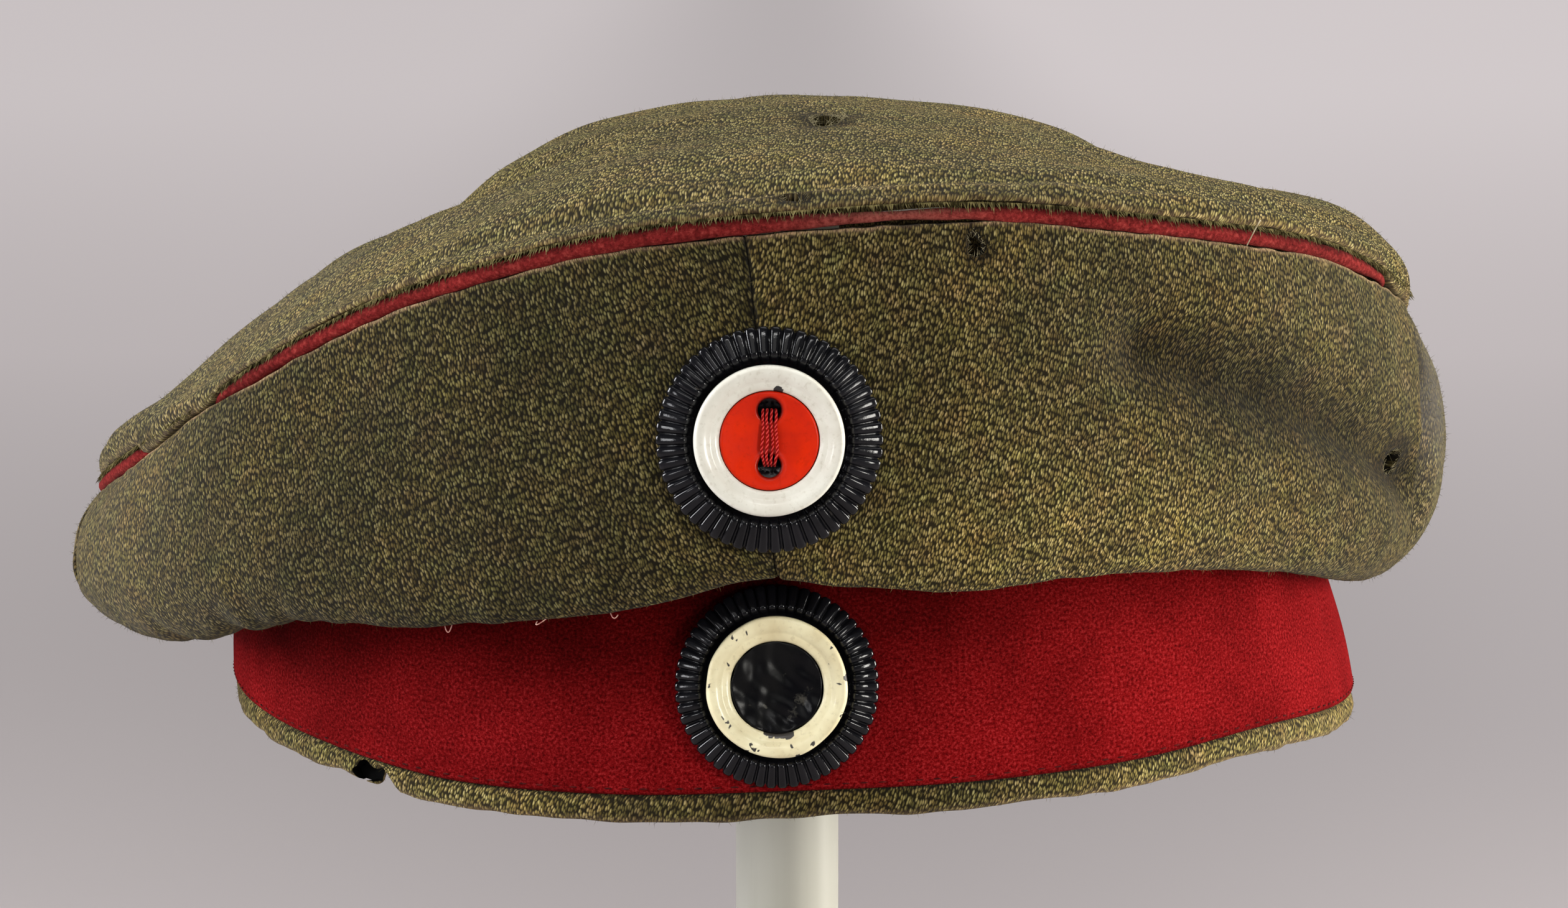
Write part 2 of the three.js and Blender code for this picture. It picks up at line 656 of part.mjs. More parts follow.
const cap = new THREE.Group();
PANELS.forEach((panel, i) => {
  const after = PANELS[(i + 1) % PANELS.length];
  const lap = i === PANELS.length - 1 ? 360 : 0;
  const end = { top: after.top + lap, bottom: after.bottom + lap };
  cap.add(piece(panel.name, pierced(panel.name, panelGeometry(panel, end)), MATERIALS.wool));
});
cap.add(piece("crown_top", pierced("crown_top", topGeometry()), MATERIALS.wool));
cap.add(piece("crown_piping", pipingGeometry(), MATERIALS.piping));
cap.add(piece("red_band", bandGeometry(), MATERIALS.redWool));
cap.add(piece("headband", cut(headbandGeometry(), [hemTearCutter()]), MATERIALS.wool));

const wallFace = (turn) => wallSection(turn).outside.map((p) => place(turn, p.x, p.y));
const bandOutside = (turn) =>
  [0.15, 0.3, 0.45, 0.6, 0.75, 0.9].map((share) => {
    const height = share * BAND_HEIGHT;
    return place(turn, bandFace(turn, height), section("rim", turn) + height);
  });
cap.add(cockadeGroup(UPPER_COCKADE, wallFace));
cap.add(cockadeGroup(LOWER_COCKADE, bandOutside));

const part = new THREE.Group();
part.add(cap, standGroup());
export default part;
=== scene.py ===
# %% [markdown]
# # A soft field cap on a post stand
# A soldier's visorless cap: a slouching grey-green wool crown, red piping in the top seam, a red felt
# band, a narrow hem and two sewn metal cockades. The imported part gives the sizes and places. This lesson
# dresses it: every solid is replaced by a finer piece of the same form, with a node material.

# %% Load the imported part
import math
import bmesh
import bpy
import numpy as np
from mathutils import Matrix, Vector


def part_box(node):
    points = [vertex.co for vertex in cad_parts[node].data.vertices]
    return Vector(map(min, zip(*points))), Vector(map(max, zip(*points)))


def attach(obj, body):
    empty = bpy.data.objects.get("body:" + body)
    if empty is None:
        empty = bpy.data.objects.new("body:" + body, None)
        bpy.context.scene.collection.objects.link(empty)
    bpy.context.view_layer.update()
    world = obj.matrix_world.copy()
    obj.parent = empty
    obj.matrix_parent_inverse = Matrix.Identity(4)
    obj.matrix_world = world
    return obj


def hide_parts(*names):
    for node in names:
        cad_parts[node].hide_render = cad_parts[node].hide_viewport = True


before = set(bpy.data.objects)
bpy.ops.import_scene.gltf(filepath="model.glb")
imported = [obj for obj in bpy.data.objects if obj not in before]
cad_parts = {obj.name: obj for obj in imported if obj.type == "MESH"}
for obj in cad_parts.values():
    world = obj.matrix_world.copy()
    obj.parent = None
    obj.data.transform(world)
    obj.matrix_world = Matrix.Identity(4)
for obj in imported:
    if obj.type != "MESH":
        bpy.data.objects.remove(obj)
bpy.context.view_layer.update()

MM = 0.001
FULL_TURN = 2 * math.pi
print("loaded", len(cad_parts), "solids")

# %% [markdown]
# ## Camera
# The camera stands where the photograph was taken from: in front of the cap and a little above it. A long
# lens keeps the near and far sides of the crown almost the same size, as a product photograph does.

# %% Camera
PHOTO_WIDTH = 2520
FOCAL_LENGTH_PIXELS = 8704
SENSOR_WIDTH = 36.0
AIM = Vector((-0.5, 0.0, 150.0)) * MM
CAMERA_DISTANCE = 850 * MM
CAMERA_ELEVATION = math.radians(7)

scene = bpy.context.scene
camera_data = bpy.data.cameras.new("camera")
camera_data.sensor_width = SENSOR_WIDTH
camera_data.lens = SENSOR_WIDTH * FOCAL_LENGTH_PIXELS / PHOTO_WIDTH
camera = bpy.data.objects.new("camera", camera_data)
scene.collection.objects.link(camera)
away = Vector((0, -math.cos(CAMERA_ELEVATION), math.sin(CAMERA_ELEVATION)))
camera.location = AIM + CAMERA_DISTANCE * away
camera.rotation_euler = (math.pi / 2 - CAMERA_ELEVATION, 0, 0)
scene.camera = camera
print("lens", round(camera_data.lens, 1), "mm")

# %% [markdown]
# ## The cap's sections
# A soft cap has no simple outline, so it is described as a tailor would measure it: at a few places round
# the head, how high and how far out are the rim, the hanging fold, the widest line and the piped seam.
# A smooth closed curve through those rows gives every place between them. Sizes are in millimetres, and a
# turn is in degrees from the front towards +X. The solids were made from the same rows.

# %% Measured sections
RIM_HEIGHT = 110.0
HEAD_WIDTH = 175.5
HEAD_LENGTH = 192.0
HEAD_SHIFT = 1.25
HEAD_SQUARENESS = 2.15
BAND_HEIGHT = 38.0
BAND_CURVE = 1.5
HEM_HEIGHT = 4.2
CROWN_PEAK = 96.0
CROWN_CLOTH = 2.0
BAND_CLOTH = 1.5
GAP = 0.3
PER_DEGREE = math.radians(HEAD_LENGTH / 2)

SECTION_COLUMNS = "turn rim lean foldOut fold bellyOut belly pipeOut pipe rollUp rollIn".split()
SECTION_ROWS = np.array([
    [-180, 2, 4, 7, 24, 14, 38, 11, 60, 9, 10],
    [-135, 3, 3, 10, 19, 19, 32, 15, 48, 10, 10],
    [-90, 4, 1, 13, 15, 25, 25, 20, 36, 12.5, 10.5],
    [-68, 3, 1, 12, 17.5, 22, 28, 18.5, 43, 11.5, 9],
    [-50, 1.5, 2, 10, 22.2, 17, 35, 15, 56.6, 6.4, 8],
    [-40, 0.2, 2.5, 9, 25.9, 15, 38.6, 13, 65.3, 5.2, 8],
    [-30, -1, 3, 8, 26.4, 13, 42, 11, 73.1, 4.9, 8],
    [-14, -1, 4, 6.5, 29.8, 10.5, 47, 8.5, 81.4, 4.1, 8],
    [0, 0, 4, 5.5, 33.7, 9.5, 50, 7, 84.5, 3.9, 8],
    [15, 0.7, 4, 5, 32.8, 9, 50, 6.5, 85.5, 4.2, 8],
    [30, 1.8, 4.5, 5, 34.5, 9, 50, 7, 82.9, 4.9, 8],
    [48, 3.5, 5.5, 4.5, 30.5, 10, 47, 8, 78, 5.5, 9],
    [68, 2, 9.5, 1.5, 25, 11.5, 44, 8.3, 69, 11, 11.5],
    [90, 1, 11.5, 0, 22.5, 14, 44, 5.5, 62, 19, 14],
    [135, 2, 5, 5, 22, 14, 40, 10, 59, 12, 11],
], dtype=float)
SECTIONS = dict(zip(SECTION_COLUMNS, SECTION_ROWS.T))


def wrap(turn):
    """A turn brought between -180 and 180 degrees."""
    return (np.asarray(turn, dtype=float) + 180) % 360 - 180


def section(column, turn):
    """Value of a section column at any turn, on a smooth closed curve through the rows."""
    turn = wrap(turn)
    rows = SECTIONS["turn"]
    values = SECTIONS[column]
    at = np.searchsorted(rows, turn, side="right") - 1

    def row(k):
        laps, index = np.divmod(k, len(rows))
        return rows[index] + 360 * laps, values[index]

    (t0, v0), (t1, v1), (t2, v2), (t3, v3) = [row(at + step) for step in (-1, 0, 1, 2)]
    stretch = t2 - t1
    t = (turn - t1) / stretch
    low = (v2 - v0) / (t2 - t0) * stretch
    high = (v3 - v1) / (t3 - t1) * stretch
    fall = 2 * t**3 - 3 * t**2 + 1
    return fall * v1 + (t**3 - 2 * t**2 + t) * low + (1 - fall) * v2 + (t**3 - t**2) * high


def band_radius(turn):
    """Distance of the band's outside from the post's axis: a slightly squared oval."""
    side = np.sin(np.radians(turn))
    front = np.cos(np.radians(turn))
    half_width = HEAD_WIDTH / 2 + HEAD_SHIFT * np.sign(side)
    width_share = np.abs(side / half_width) ** HEAD_SQUARENESS
    length_share = np.abs(front / (HEAD_LENGTH / 2)) ** HEAD_SQUARENESS
    return (width_share + length_share) ** (-1 / HEAD_SQUARENESS)


def place(turn, distance, height):
    """Points in millimetres from a turn, a distance from the post and a height above the rim."""
    turn, distance, height = np.broadcast_arrays(turn, distance, height)
    angle = np.radians(turn)
    return np.stack([distance * np.sin(angle), -distance * np.cos(angle), RIM_HEIGHT + height], axis=-1)


def around(columns, rows):
    """Turns right round the head, as a grid of columns by rows."""
    return np.linspace(-180, 180, columns, endpoint=False)[:, None] + 0 * rows


def bump(offset, half_width):
    return np.exp(-((offset / half_width) ** 2))


def near(turn, middle, half_width):
    return bump(wrap(turn) - middle, half_width)


def eased(share):
    share = np.clip(share, 0, 1)
    return share * share * (3 - 2 * share)


def between(turn, start, rise, end, fall):
    """1 from a start to an end, with soft flanks of a given width inside them."""
    return eased((turn - start) / rise) * eased((end - turn) / fall)


def spots(turn, along=0.0):
    """Places on flattened cloth, for unevenness that follows the cloth."""
    return np.stack([turn * PER_DEGREE, 0 * turn, along + 0 * turn], -1)


def ripple(points, wavelength, seed, waves=16):
    """A soft seeded unevenness, about -1 to 1, made of waves that run in random directions."""
    rng = np.random.default_rng(seed)
    ways = rng.normal(size=(waves, 3))
    ways /= np.linalg.norm(ways, axis=1, keepdims=True)
    ways *= (FULL_TURN / (wavelength * rng.uniform(0.7, 1.4, waves)))[:, None]
    phases = rng.uniform(0, FULL_TURN, waves)
    return np.sin(points @ ways.T + phases).sum(axis=-1) / math.sqrt(waves)


print("band is about", round(float(FULL_TURN * band_radius(np.arange(0, 360, 5)).mean())), "mm round")

# %% [markdown]
# ## A wall of cloth
# Cloth has an outer skin, an inner skin and edges. A grid of outer points and a matching grid of inner
# points make all three: quads on each skin, and a strip of quads wherever a kept quad has no neighbour.
# Moth holes then cost nothing extra, because leaving out quads opens a hole with real cut walls. A UV map
# in millimetres along the cloth lets the weave follow the folds.

# %% Pieces from grids of points
# How much darker the inner skins are painted: painted shade inside the cap, and dirt.
INNER_SHADE_AND_GRIME = 0.85
WELD_DISTANCE = 0.002


def new_mesh(name, points, edges, faces):
    """A mesh from points in millimetres."""
    mesh = bpy.data.meshes.new(name)
    mesh.from_pydata((np.asarray(points, dtype=float) * MM).tolist(), edges, faces)
    return mesh


def mesh_piece(name, points, faces, material, smooth=True):
    """A mesh object at the origin."""
    mesh = new_mesh(name, points, [], faces)
    mesh.polygons.foreach_set("use_smooth", [smooth] * len(mesh.polygons))
    mesh.materials.append(material)
    piece = bpy.data.objects.new(name, mesh)
    scene.collection.objects.link(piece)
    return piece


def set_mark(mesh, name, values, kind="FLOAT", domain="POINT"):
    """Keeps a value for every corner or face of a mesh."""
    attribute = mesh.attributes.new(name, kind, domain)
    attribute.data.foreach_set("vector" if kind == "FLOAT_VECTOR" else "value", values)


def grid_quads(columns, rows, ring=False, tube=False):
    """Quads of a grid. A ring joins its last column to its first, and a tube its last row to its first."""
    index = np.arange(columns * rows).reshape(columns, rows)
    after = np.roll(index, -1, axis=0)
    quads = np.stack([index, after, np.roll(after, -1, axis=1), np.roll(index, -1, axis=1)], axis=-1)
    return quads[:columns if ring else -1, :rows if tube else -1]


def quads_inside(inside, ring):
    """The quads of a grid that have all four corners inside."""
    after = np.roll(inside, -1, axis=0)
    whole = inside[:, :-1] & after[:, :-1] & after[:, 1:] & inside[:, 1:]
    return whole if ring else whole[:-1]


def shell_piece(name, outside, inside, uv, material, keep=None, ring=False, flip=False, marks=None):
    """A closed wall of cloth. The grids are columns by rows, and uv has one more column on a ring."""
    columns, rows = outside.shape[:2]
    count = columns * rows
    quads = grid_quads(columns, rows, ring)
    corners = np.stack([uv[:-1, :-1], uv[1:, :-1], uv[1:, 1:], uv[:-1, 1:]], axis=-2)
    if keep is None:
        keep = np.ones(quads.shape[:2], dtype=bool)
    quads = quads[keep]
    corners = corners[keep]
    if flip:
        quads = quads[:, ::-1]
        corners = corners[:, ::-1]
    edges = np.concatenate([quads[:, [k, (k + 1) % 4]] for k in range(4)])
    edge_uv = np.concatenate([corners[:, [k, (k + 1) % 4]] for k in range(4)])
    keys = edges.min(axis=1) * count + edges.max(axis=1)
    _, first, uses = np.unique(keys, return_index=True, return_counts=True)
    border = edges[first[uses == 1]]
    border_uv = edge_uv[first[uses == 1]]
    walls = np.stack([border[:, 1], border[:, 0], border[:, 0] + count, border[:, 1] + count], axis=-1)
    wall_uv = np.stack([border_uv[:, 1], border_uv[:, 0], border_uv[:, 0], border_uv[:, 1]], axis=-2)
    faces = np.concatenate([quads, quads[:, ::-1] + count, walls])
    points = np.concatenate([outside.reshape(-1, 3), inside.reshape(-1, 3)])
    piece = mesh_piece(name, points, faces.tolist(), material)
    layer = piece.data.uv_layers.new(name="cloth")
    layer.data.foreach_set("uv", np.concatenate([corners, corners[:, ::-1], wall_uv]).ravel())
    set_mark(piece.data, "outer", np.arange(len(faces)) < len(quads), "BOOLEAN", "FACE")
    for mark, values in (marks or {}).items():
        # Inner skins are painted darker throughout: painted shade inside the cap, and dirt.
        inner_values = np.full(count, INNER_SHADE_AND_GRIME) if mark == "shade_and_grime" else values.ravel()
        set_mark(piece.data, mark, np.concatenate([values.ravel(), inner_values]))
    return piece


def weld(piece):
    """Joins doubled corners, such as the pole of a polar grid, and drops corners that no face uses."""
    work = bmesh.new()
    work.from_mesh(piece.data)
    bmesh.ops.delete(work, geom=[v for v in work.verts if not v.link_faces], context="VERTS")
    bmesh.ops.remove_doubles(work, verts=work.verts, dist=WELD_DISTANCE * MM)
    work.to_mesh(piece.data)
    work.free()


def settle(piece, modifier):
    """Makes a modifier's result the piece's own plain mesh."""
    ready = piece.evaluated_get(bpy.context.evaluated_depsgraph_get())
    mesh = bpy.data.meshes.new_from_object(ready)
    piece.modifiers.remove(modifier)
    piece.data = mesh


def finish_piece(piece, slot, *nodes):
    """Hands a finished piece to the frame."""
    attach(piece, "root")
    if nodes:
        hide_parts(*nodes)
    print(piece.name, len(piece.data.polygons), "faces")


print("cloth walls are", CROWN_CLOTH, "mm in the crown and", BAND_CLOTH, "mm in the band")

# %% [markdown]
# ## Building node trees
# Both materials and Geometry Nodes are trees of nodes. One small helper adds a node, sets its options and
# fills its inputs with numbers or with links, so that each tree below reads from top to bottom.

# %% Node helpers
SHEEN_ROUGHNESS = 0.6
COAT_ROUGHNESS = 0.12


def fill(tree, socket, source):
    """Sets a socket to a value, or links it to another node's output."""
    if isinstance(source, bpy.types.NodeSocket):
        tree.links.new(source, socket)
    else:
        socket.default_value = source


def add(tree, kind, inputs=None, output=0, **settings):
    """Adds a node and gives one of its outputs, or all of them for None. inputs maps sockets to sources."""
    node = tree.nodes.new(kind)
    for setting, value in settings.items():
        setattr(node, setting, value)
    for socket, source in (inputs or {}).items():
        fill(tree, node.inputs[socket], source)
    return node.outputs if output is None else node.outputs[output]


def math_node(tree, operation, *values):
    return add(tree, "ShaderNodeMath", dict(enumerate(values)), operation=operation)


def vector_math(tree, operation, *values):
    return add(tree, "ShaderNodeVectorMath", dict(enumerate(values)), operation=operation)


def blend(tree, mode, factor, low, high):
    """A colour mixed from two others."""
    outputs = add(tree, "ShaderNodeMix", None, None, data_type="RGBA", blend_type=mode)
    sockets = {socket.identifier: socket for socket in outputs[0].node.inputs}
    fill(tree, sockets["Factor_Float"], factor)
    for name, colour in (("A_Color", low), ("B_Color", high)):
        fill(tree, sockets[name], (*colour, 1) if isinstance(colour, tuple) else colour)
    return next(socket for socket in outputs if socket.identifier == "Result_Color")


def cover(tree, colour, paint, share):
    return blend(tree, "MIX", share, colour, paint)


def shade(tree, colour, tint, share=1.0):
    return blend(tree, "MULTIPLY", share, colour, tint)


def ramp(tree, factor, *stops):
    """A colour ramp. Each stop is a position and a colour."""
    colour = add(tree, "ShaderNodeValToRGB", {"Fac": factor}, "Color")
    elements = colour.node.color_ramp.elements
    while len(elements) < len(stops):
        elements.new(0.5)
    for element, (position, stop) in zip(elements, stops):
        element.position = position
        element.color = (*stop, 1)
    return colour


def span(tree, value, low, high, to_low=0.0, to_high=1.0):
    """A value brought from one range to another, with soft ends."""
    inputs = {"Value": value, "From Min": low, "From Max": high, "To Min": to_low, "To Max": to_high}
    return add(tree, "ShaderNodeMapRange", inputs, "Result", interpolation_type="SMOOTHSTEP")


def noise(tree, vector, scale, detail=2.0, roughness=0.5, output="Fac"):
    inputs = {"Vector": vector, "Scale": scale, "Detail": detail, "Roughness": roughness}
    return add(tree, "ShaderNodeTexNoise", inputs, output)


def stretched(tree, vector, scale, rotation=(0, 0, 0)):
    """A texture's places, turned and stretched to a scale."""
    inputs = {"Vector": vector, "Rotation": rotation, "Scale": scale}
    return add(tree, "ShaderNodeMapping", inputs, vector_type="TEXTURE")


def mark_value(tree, name):
    return add(tree, "ShaderNodeAttribute", None, "Fac", attribute_name=name)


def cloth_spot(tree):
    return add(tree, "ShaderNodeUVMap", uv_map="cloth")


def object_spot(tree):
    return add(tree, "ShaderNodeTexCoord", None, "Object")


def finish_material(name, roughness, specular=0.5, sheen=0.0, sheen_tint=(1, 1, 1), coat=0.0):
    """A new material with its constant values set on the shader's own sockets."""
    material = bpy.data.materials.new(name)
    material.use_nodes = True
    values = {
        "Roughness": roughness, "Specular IOR Level": specular,
        "Sheen Weight": sheen, "Sheen Roughness": SHEEN_ROUGHNESS, "Sheen Tint": (*sheen_tint, 1),
        "Coat Weight": coat, "Coat Roughness": COAT_ROUGHNESS,
    }
    for socket, value in values.items():
        material.node_tree.nodes["Principled BSDF"].inputs[socket].default_value = value
    return material, material.node_tree


def painted(material, colour, relief=None, depth=0.0, strength=1.0):
    """Gives a material its colour, and a fine relief with a depth in millimetres."""
    tree = material.node_tree
    sockets = tree.nodes["Principled BSDF"].inputs
    fill(tree, sockets["Base Color"], colour)
    if relief is not None:
        inputs = {"Height": relief, "Distance": depth * MM, "Strength": strength}
        fill(tree, sockets["Normal"], add(tree, "ShaderNodeBump", inputs, "Normal"))
    return material


print("node helpers ready")

# %% [markdown]
# ## Grey-green wool
# The crown's cloth is a coarse fulled twill: dark olive yarns with paler straw ones between them, seen as
# short slanting grains under a millimetre long at the sides. A Voronoi pattern stretched along the slant
# gives one cell to each grain. The cell's random colour picks the yarn, and the distance from its middle
# gives the dark gap and the relief. Slow noise then varies the dye. Marks add worn and faded places, a
# painted grey sheen at the left end, and painted light and painted shade; each material's dye factor
# also paints light and shade.

# %% Wool material
GRAIN_WIDTH = 0.34
GRAIN_LENGTH = 0.84
TOP_GRAIN_LENGTH = 1.5
FIBRE_SCALE = (0.13, 0.9, 1)
WANDER = (0.6, 0.6, 0)
TINT_SHARE = 0.16
WOOL_SHEEN = (0.9, 0.87, 0.78)
GAP_COLOUR = (0.014, 0.011, 0.004)
YARNS = (
    (0.0, (0.038, 0.031, 0.009)),
    (0.35, (0.120, 0.097, 0.030)),
    (0.65, (0.27, 0.220, 0.080)),
    (1.0, (0.62, 0.53, 0.26)),
)
DYE_TONES = ((0.3, (0.74, 0.77, 0.76)), (0.5, (1, 1, 1)), (0.7, (1.26, 1.18, 1.04)))
WORN_WOOL = (0.46, 0.30, 0.17)
# Grey for faded cloth, and for a painted sheen at the left end.
FADED_AND_SHEEN_WOOL = (0.075, 0.07, 0.069)
# Painted light: how much paler the lit places of the wool are painted.
PAINTED_LIGHT_WOOL = (1.95, 1.9, 1.8)
# Tint of the painted shade and dirt on the wool.
WOOL_SHADE_AND_GRIME = (0.22, 0.20, 0.18)


def wool(name, slant, dye_and_light, length=GRAIN_LENGTH, sheen=0.08):
    material, tree = finish_material(name, 0.95, 0.05, sheen, WOOL_SHEEN)
    uv = cloth_spot(tree)
    wander = noise(tree, uv, 0.4, 1.0, output="Color")
    drift = vector_math(tree, "MULTIPLY_ADD", wander, WANDER, uv)
    slanted = (0, 0, math.radians(slant))
    grains = stretched(tree, drift, (GRAIN_WIDTH, length, 1), slanted)
    pattern = {"Vector": grains, "Scale": 1.0, "Smoothness": 0.15, "Randomness": 0.82}
    kind = {"voronoi_dimensions": "2D", "feature": "SMOOTH_F1"}
    cells = add(tree, "ShaderNodeTexVoronoi", pattern, None, **kind)
    grain = span(tree, cells["Distance"], 0.15, 0.58, 1.0, 0.0)
    pick = add(tree, "ShaderNodeSeparateColor", {"Color": cells["Color"]}, "Red")
    fibre = noise(tree, stretched(tree, drift, FIBRE_SCALE, slanted), 1.0, 3.0, 0.6)
    yarn = math_node(tree, "MULTIPLY_ADD", fibre, 0.6, math_node(tree, "MULTIPLY_ADD", pick, 0.62, -0.1))
    colour = cover(tree, GAP_COLOUR, ramp(tree, yarn, *YARNS), grain)
    colour = shade(tree, colour, ramp(tree, noise(tree, uv, 0.045, 3.0, 0.6), *DYE_TONES))
    tints = shade(tree, noise(tree, uv, 0.28, output="Color"), (2, 2, 2))
    colour = shade(tree, colour, cover(tree, (1, 1, 1), tints, TINT_SHARE))
    # The material's factor paints light and shade as well as dye.
    colour = shade(tree, colour, dye_and_light)
    worn = math_node(tree, "MULTIPLY", mark_value(tree, "wear"), span(tree, fibre, 0.4, 0.62, 0.1, 0.9))
    colour = cover(tree, colour, WORN_WOOL, worn)
    # Faded cloth behind the right seam, and a painted grey sheen at the left end and over the top's left
    # side.
    faded_and_sheen_share = span(tree, fibre, 0.35, 0.65, 0.55, 0.85)
    faded_and_sheen_share = math_node(tree, "MULTIPLY", mark_value(tree, "faded"), faded_and_sheen_share)
    colour = cover(tree, colour, FADED_AND_SHEEN_WOOL, faded_and_sheen_share)
    # Painted light on the lower right front, the left end and the sides of the hem.
    colour = shade(tree, colour, PAINTED_LIGHT_WOOL, mark_value(tree, "painted_light"))
    # Painted shade in creases, seams, under the fold and below the top's ridge; darker round the holes and on
    # the inner skins.
    colour = shade(tree, colour, WOOL_SHADE_AND_GRIME, mark_value(tree, "shade_and_grime"))
    return painted(material, colour, math_node(tree, "MULTIPLY_ADD", fibre, 0.5, grain), 0.12, 0.75)


# These factors paint light and shade as well as dye: the front panels darker, the left one most, and the top
# paler.
WOOL_RIGHT = wool("wool_right", -17, (0.70, 0.675, 0.63))
WOOL_LEFT = wool("wool_left", 14, (0.47, 0.465, 0.43))
WOOL_TOP = wool("wool_top", -4, (1.12, 1.09, 1.03), TOP_GRAIN_LENGTH, 0.04)
WOOL_BACK = wool("wool_back", -17, (0.92, 0.9, 0.92))
WOOL_HEM = wool("wool_hem", -17, (1.0, 0.96, 0.88))
print("wool grains are", GRAIN_WIDTH, "by", GRAIN_LENGTH, "mm")

# %% [markdown]
# ## The side panels
# Four panels hang from the piped seam, swell to the belly, turn under and are sewn to the band. Each is a
# grid between two seams: columns follow the turn, and rows follow three Bezier curves down the section.
# Creases press the cloth in where the table says, edges roll in at the seams, and slow ripples, seam
# puckers and the gathers at the left keep it from looking moulded.

# %% Folds and holes
SHOULDER_DROP = 0.15
LEG_SLACK = 0.5
SEAM_CLEARANCE = 0.7
ROUND = 0.55
PIPING_RADIUS = 1.1
CORD_GAP = 0.05
TUCK_TURN = -54.0
TUCK_HALF_WIDTH = 6.0
TUCK_SHARE = 0.6
# where the top hides the piping: from turn, width of the first flank, to turn, width of the last flank
SWALLOWED = [(-64.5, 3, -49, 3), (60, 5, 102, 10)]
# cloth, from turn and distance from the piping, to turn and distance, half width, depth
FOLDS = [
    ("wall", 29, 16.5, 50, 23.5, 6, 3.2),
    ("wall", 50, 23.5, 67, 27.5, 6, 3.6),
    ("wall", 72.5, 2, 72, 32, 4, 2.2),
    ("wall", -66, 34, -56, 36, 6, -1),
    ("top", -34, 13, 64, 14, 4, 1.3),
    ("top", -125, 66, -55, 66, 13, 3.6),
    ("top", 70, 47, 125, 48, 13, 4.8),
    # The crease_shade rows fold no cloth: they place the painted shade along the crease.
    ("crease_shade", 29, 17, 50, 25.8, 6.5, 1),
    ("crease_shade", 50, 25.8, 66, 28, 6, 1),
]
# piece, turn, distance from the piping, width, height
HOLES = [
    ("crown_top", 8, 63, 6.2, 10),
    ("crown_top", 0.6, 4.4, 3.4, 3.2),
    ("crown_panel_front_right", 14.5, 3.1, 2.8, 3.2),
    ("crown_panel_front_right", 65.5, 25.3, 7.0, 3.6),
]


def swallowed(turn):
    """Where the top hangs over the seam and hides the piping, from 0 to 1."""
    left, right = [between(wrap(turn), *reach) for reach in SWALLOWED]
    return np.maximum(left, right)


def piping_radius(turn):
    return PIPING_RADIUS * (1 - TUCK_SHARE * near(turn, TUCK_TURN, TUCK_HALF_WIDTH))


def fold_depth(cloth, turn, along, narrowed=1.0):
    """How deep the folds press a cloth at a turn and a distance from the piping. The deepest one counts."""
    across = wrap(turn) * PER_DEGREE
    deepest = np.zeros(np.broadcast(across, along).shape)
    raised = deepest.copy()
    for name, turn0, along0, turn1, along1, half_width, pressed in FOLDS:
        if name != cloth:
            continue
        start = np.array([turn0 * PER_DEGREE, along0])
        way = np.array([turn1 * PER_DEGREE, along1]) - start
        share = ((across - start[0]) * way[0] + (along - start[1]) * way[1]) / (way @ way)
        share = np.clip(share, 0, 1)
        off = np.hypot(across - start[0] - share * way[0], along - start[1] - share * way[1])
        depth = pressed * bump(off, half_width * narrowed)
        deepest = np.maximum(deepest, depth)
        raised = np.minimum(raised, depth)
    return deepest + raised


def cubic(p0, p1, p2, p3, t):
    return (1 - t) ** 3 * p0 + 3 * (1 - t) ** 2 * t * p1 + 3 * (1 - t) * t**2 * p2 + t**3 * p3


def edge_roll(distance, radius):
    """How far a rolled edge turns in, at a distance from the edge."""
    closeness = np.clip(1 - distance / radius, 0, 1)
    return radius * (1 - np.sqrt(1 - closeness**2))


def skins(turn, distance, height, depth, side):
    """The outer and inner skins of a section, pressed in by a depth."""
    run_r = np.gradient(distance, axis=1)
    run_z = np.gradient(height, axis=1)
    size = np.hypot(run_r, run_z) + 1e-9
    in_r = side * run_z / size
    in_z = -side * run_r / size
    outer_r = distance + in_r * depth
    outer_z = height + in_z * depth
    outside = place(turn, outer_r, outer_z)
    within = place(turn, outer_r + in_r * CROWN_CLOTH, outer_z + in_z * CROWN_CLOTH)
    within[:, 0] = place(turn[:, 0], outer_r[:, 0] - CROWN_CLOTH, outer_z[:, 0])
    return outside, within


def along_cloth(distance, height):
    """Distance from the first row, measured along the cloth."""
    steps = np.hypot(np.diff(distance, axis=1), np.diff(height, axis=1))
    return np.concatenate([np.zeros((len(distance), 1)), np.cumsum(steps, axis=1)], axis=1)


print(len(FOLDS), "folds and", len(HOLES), "moth holes in the crown")

# %% Opening the moth holes
HOLE_LOBES = (2, 3, 5, 8)
LOBE_SIZE = 0.35
GREYED_SHARE = 0.85
hole_edges = []


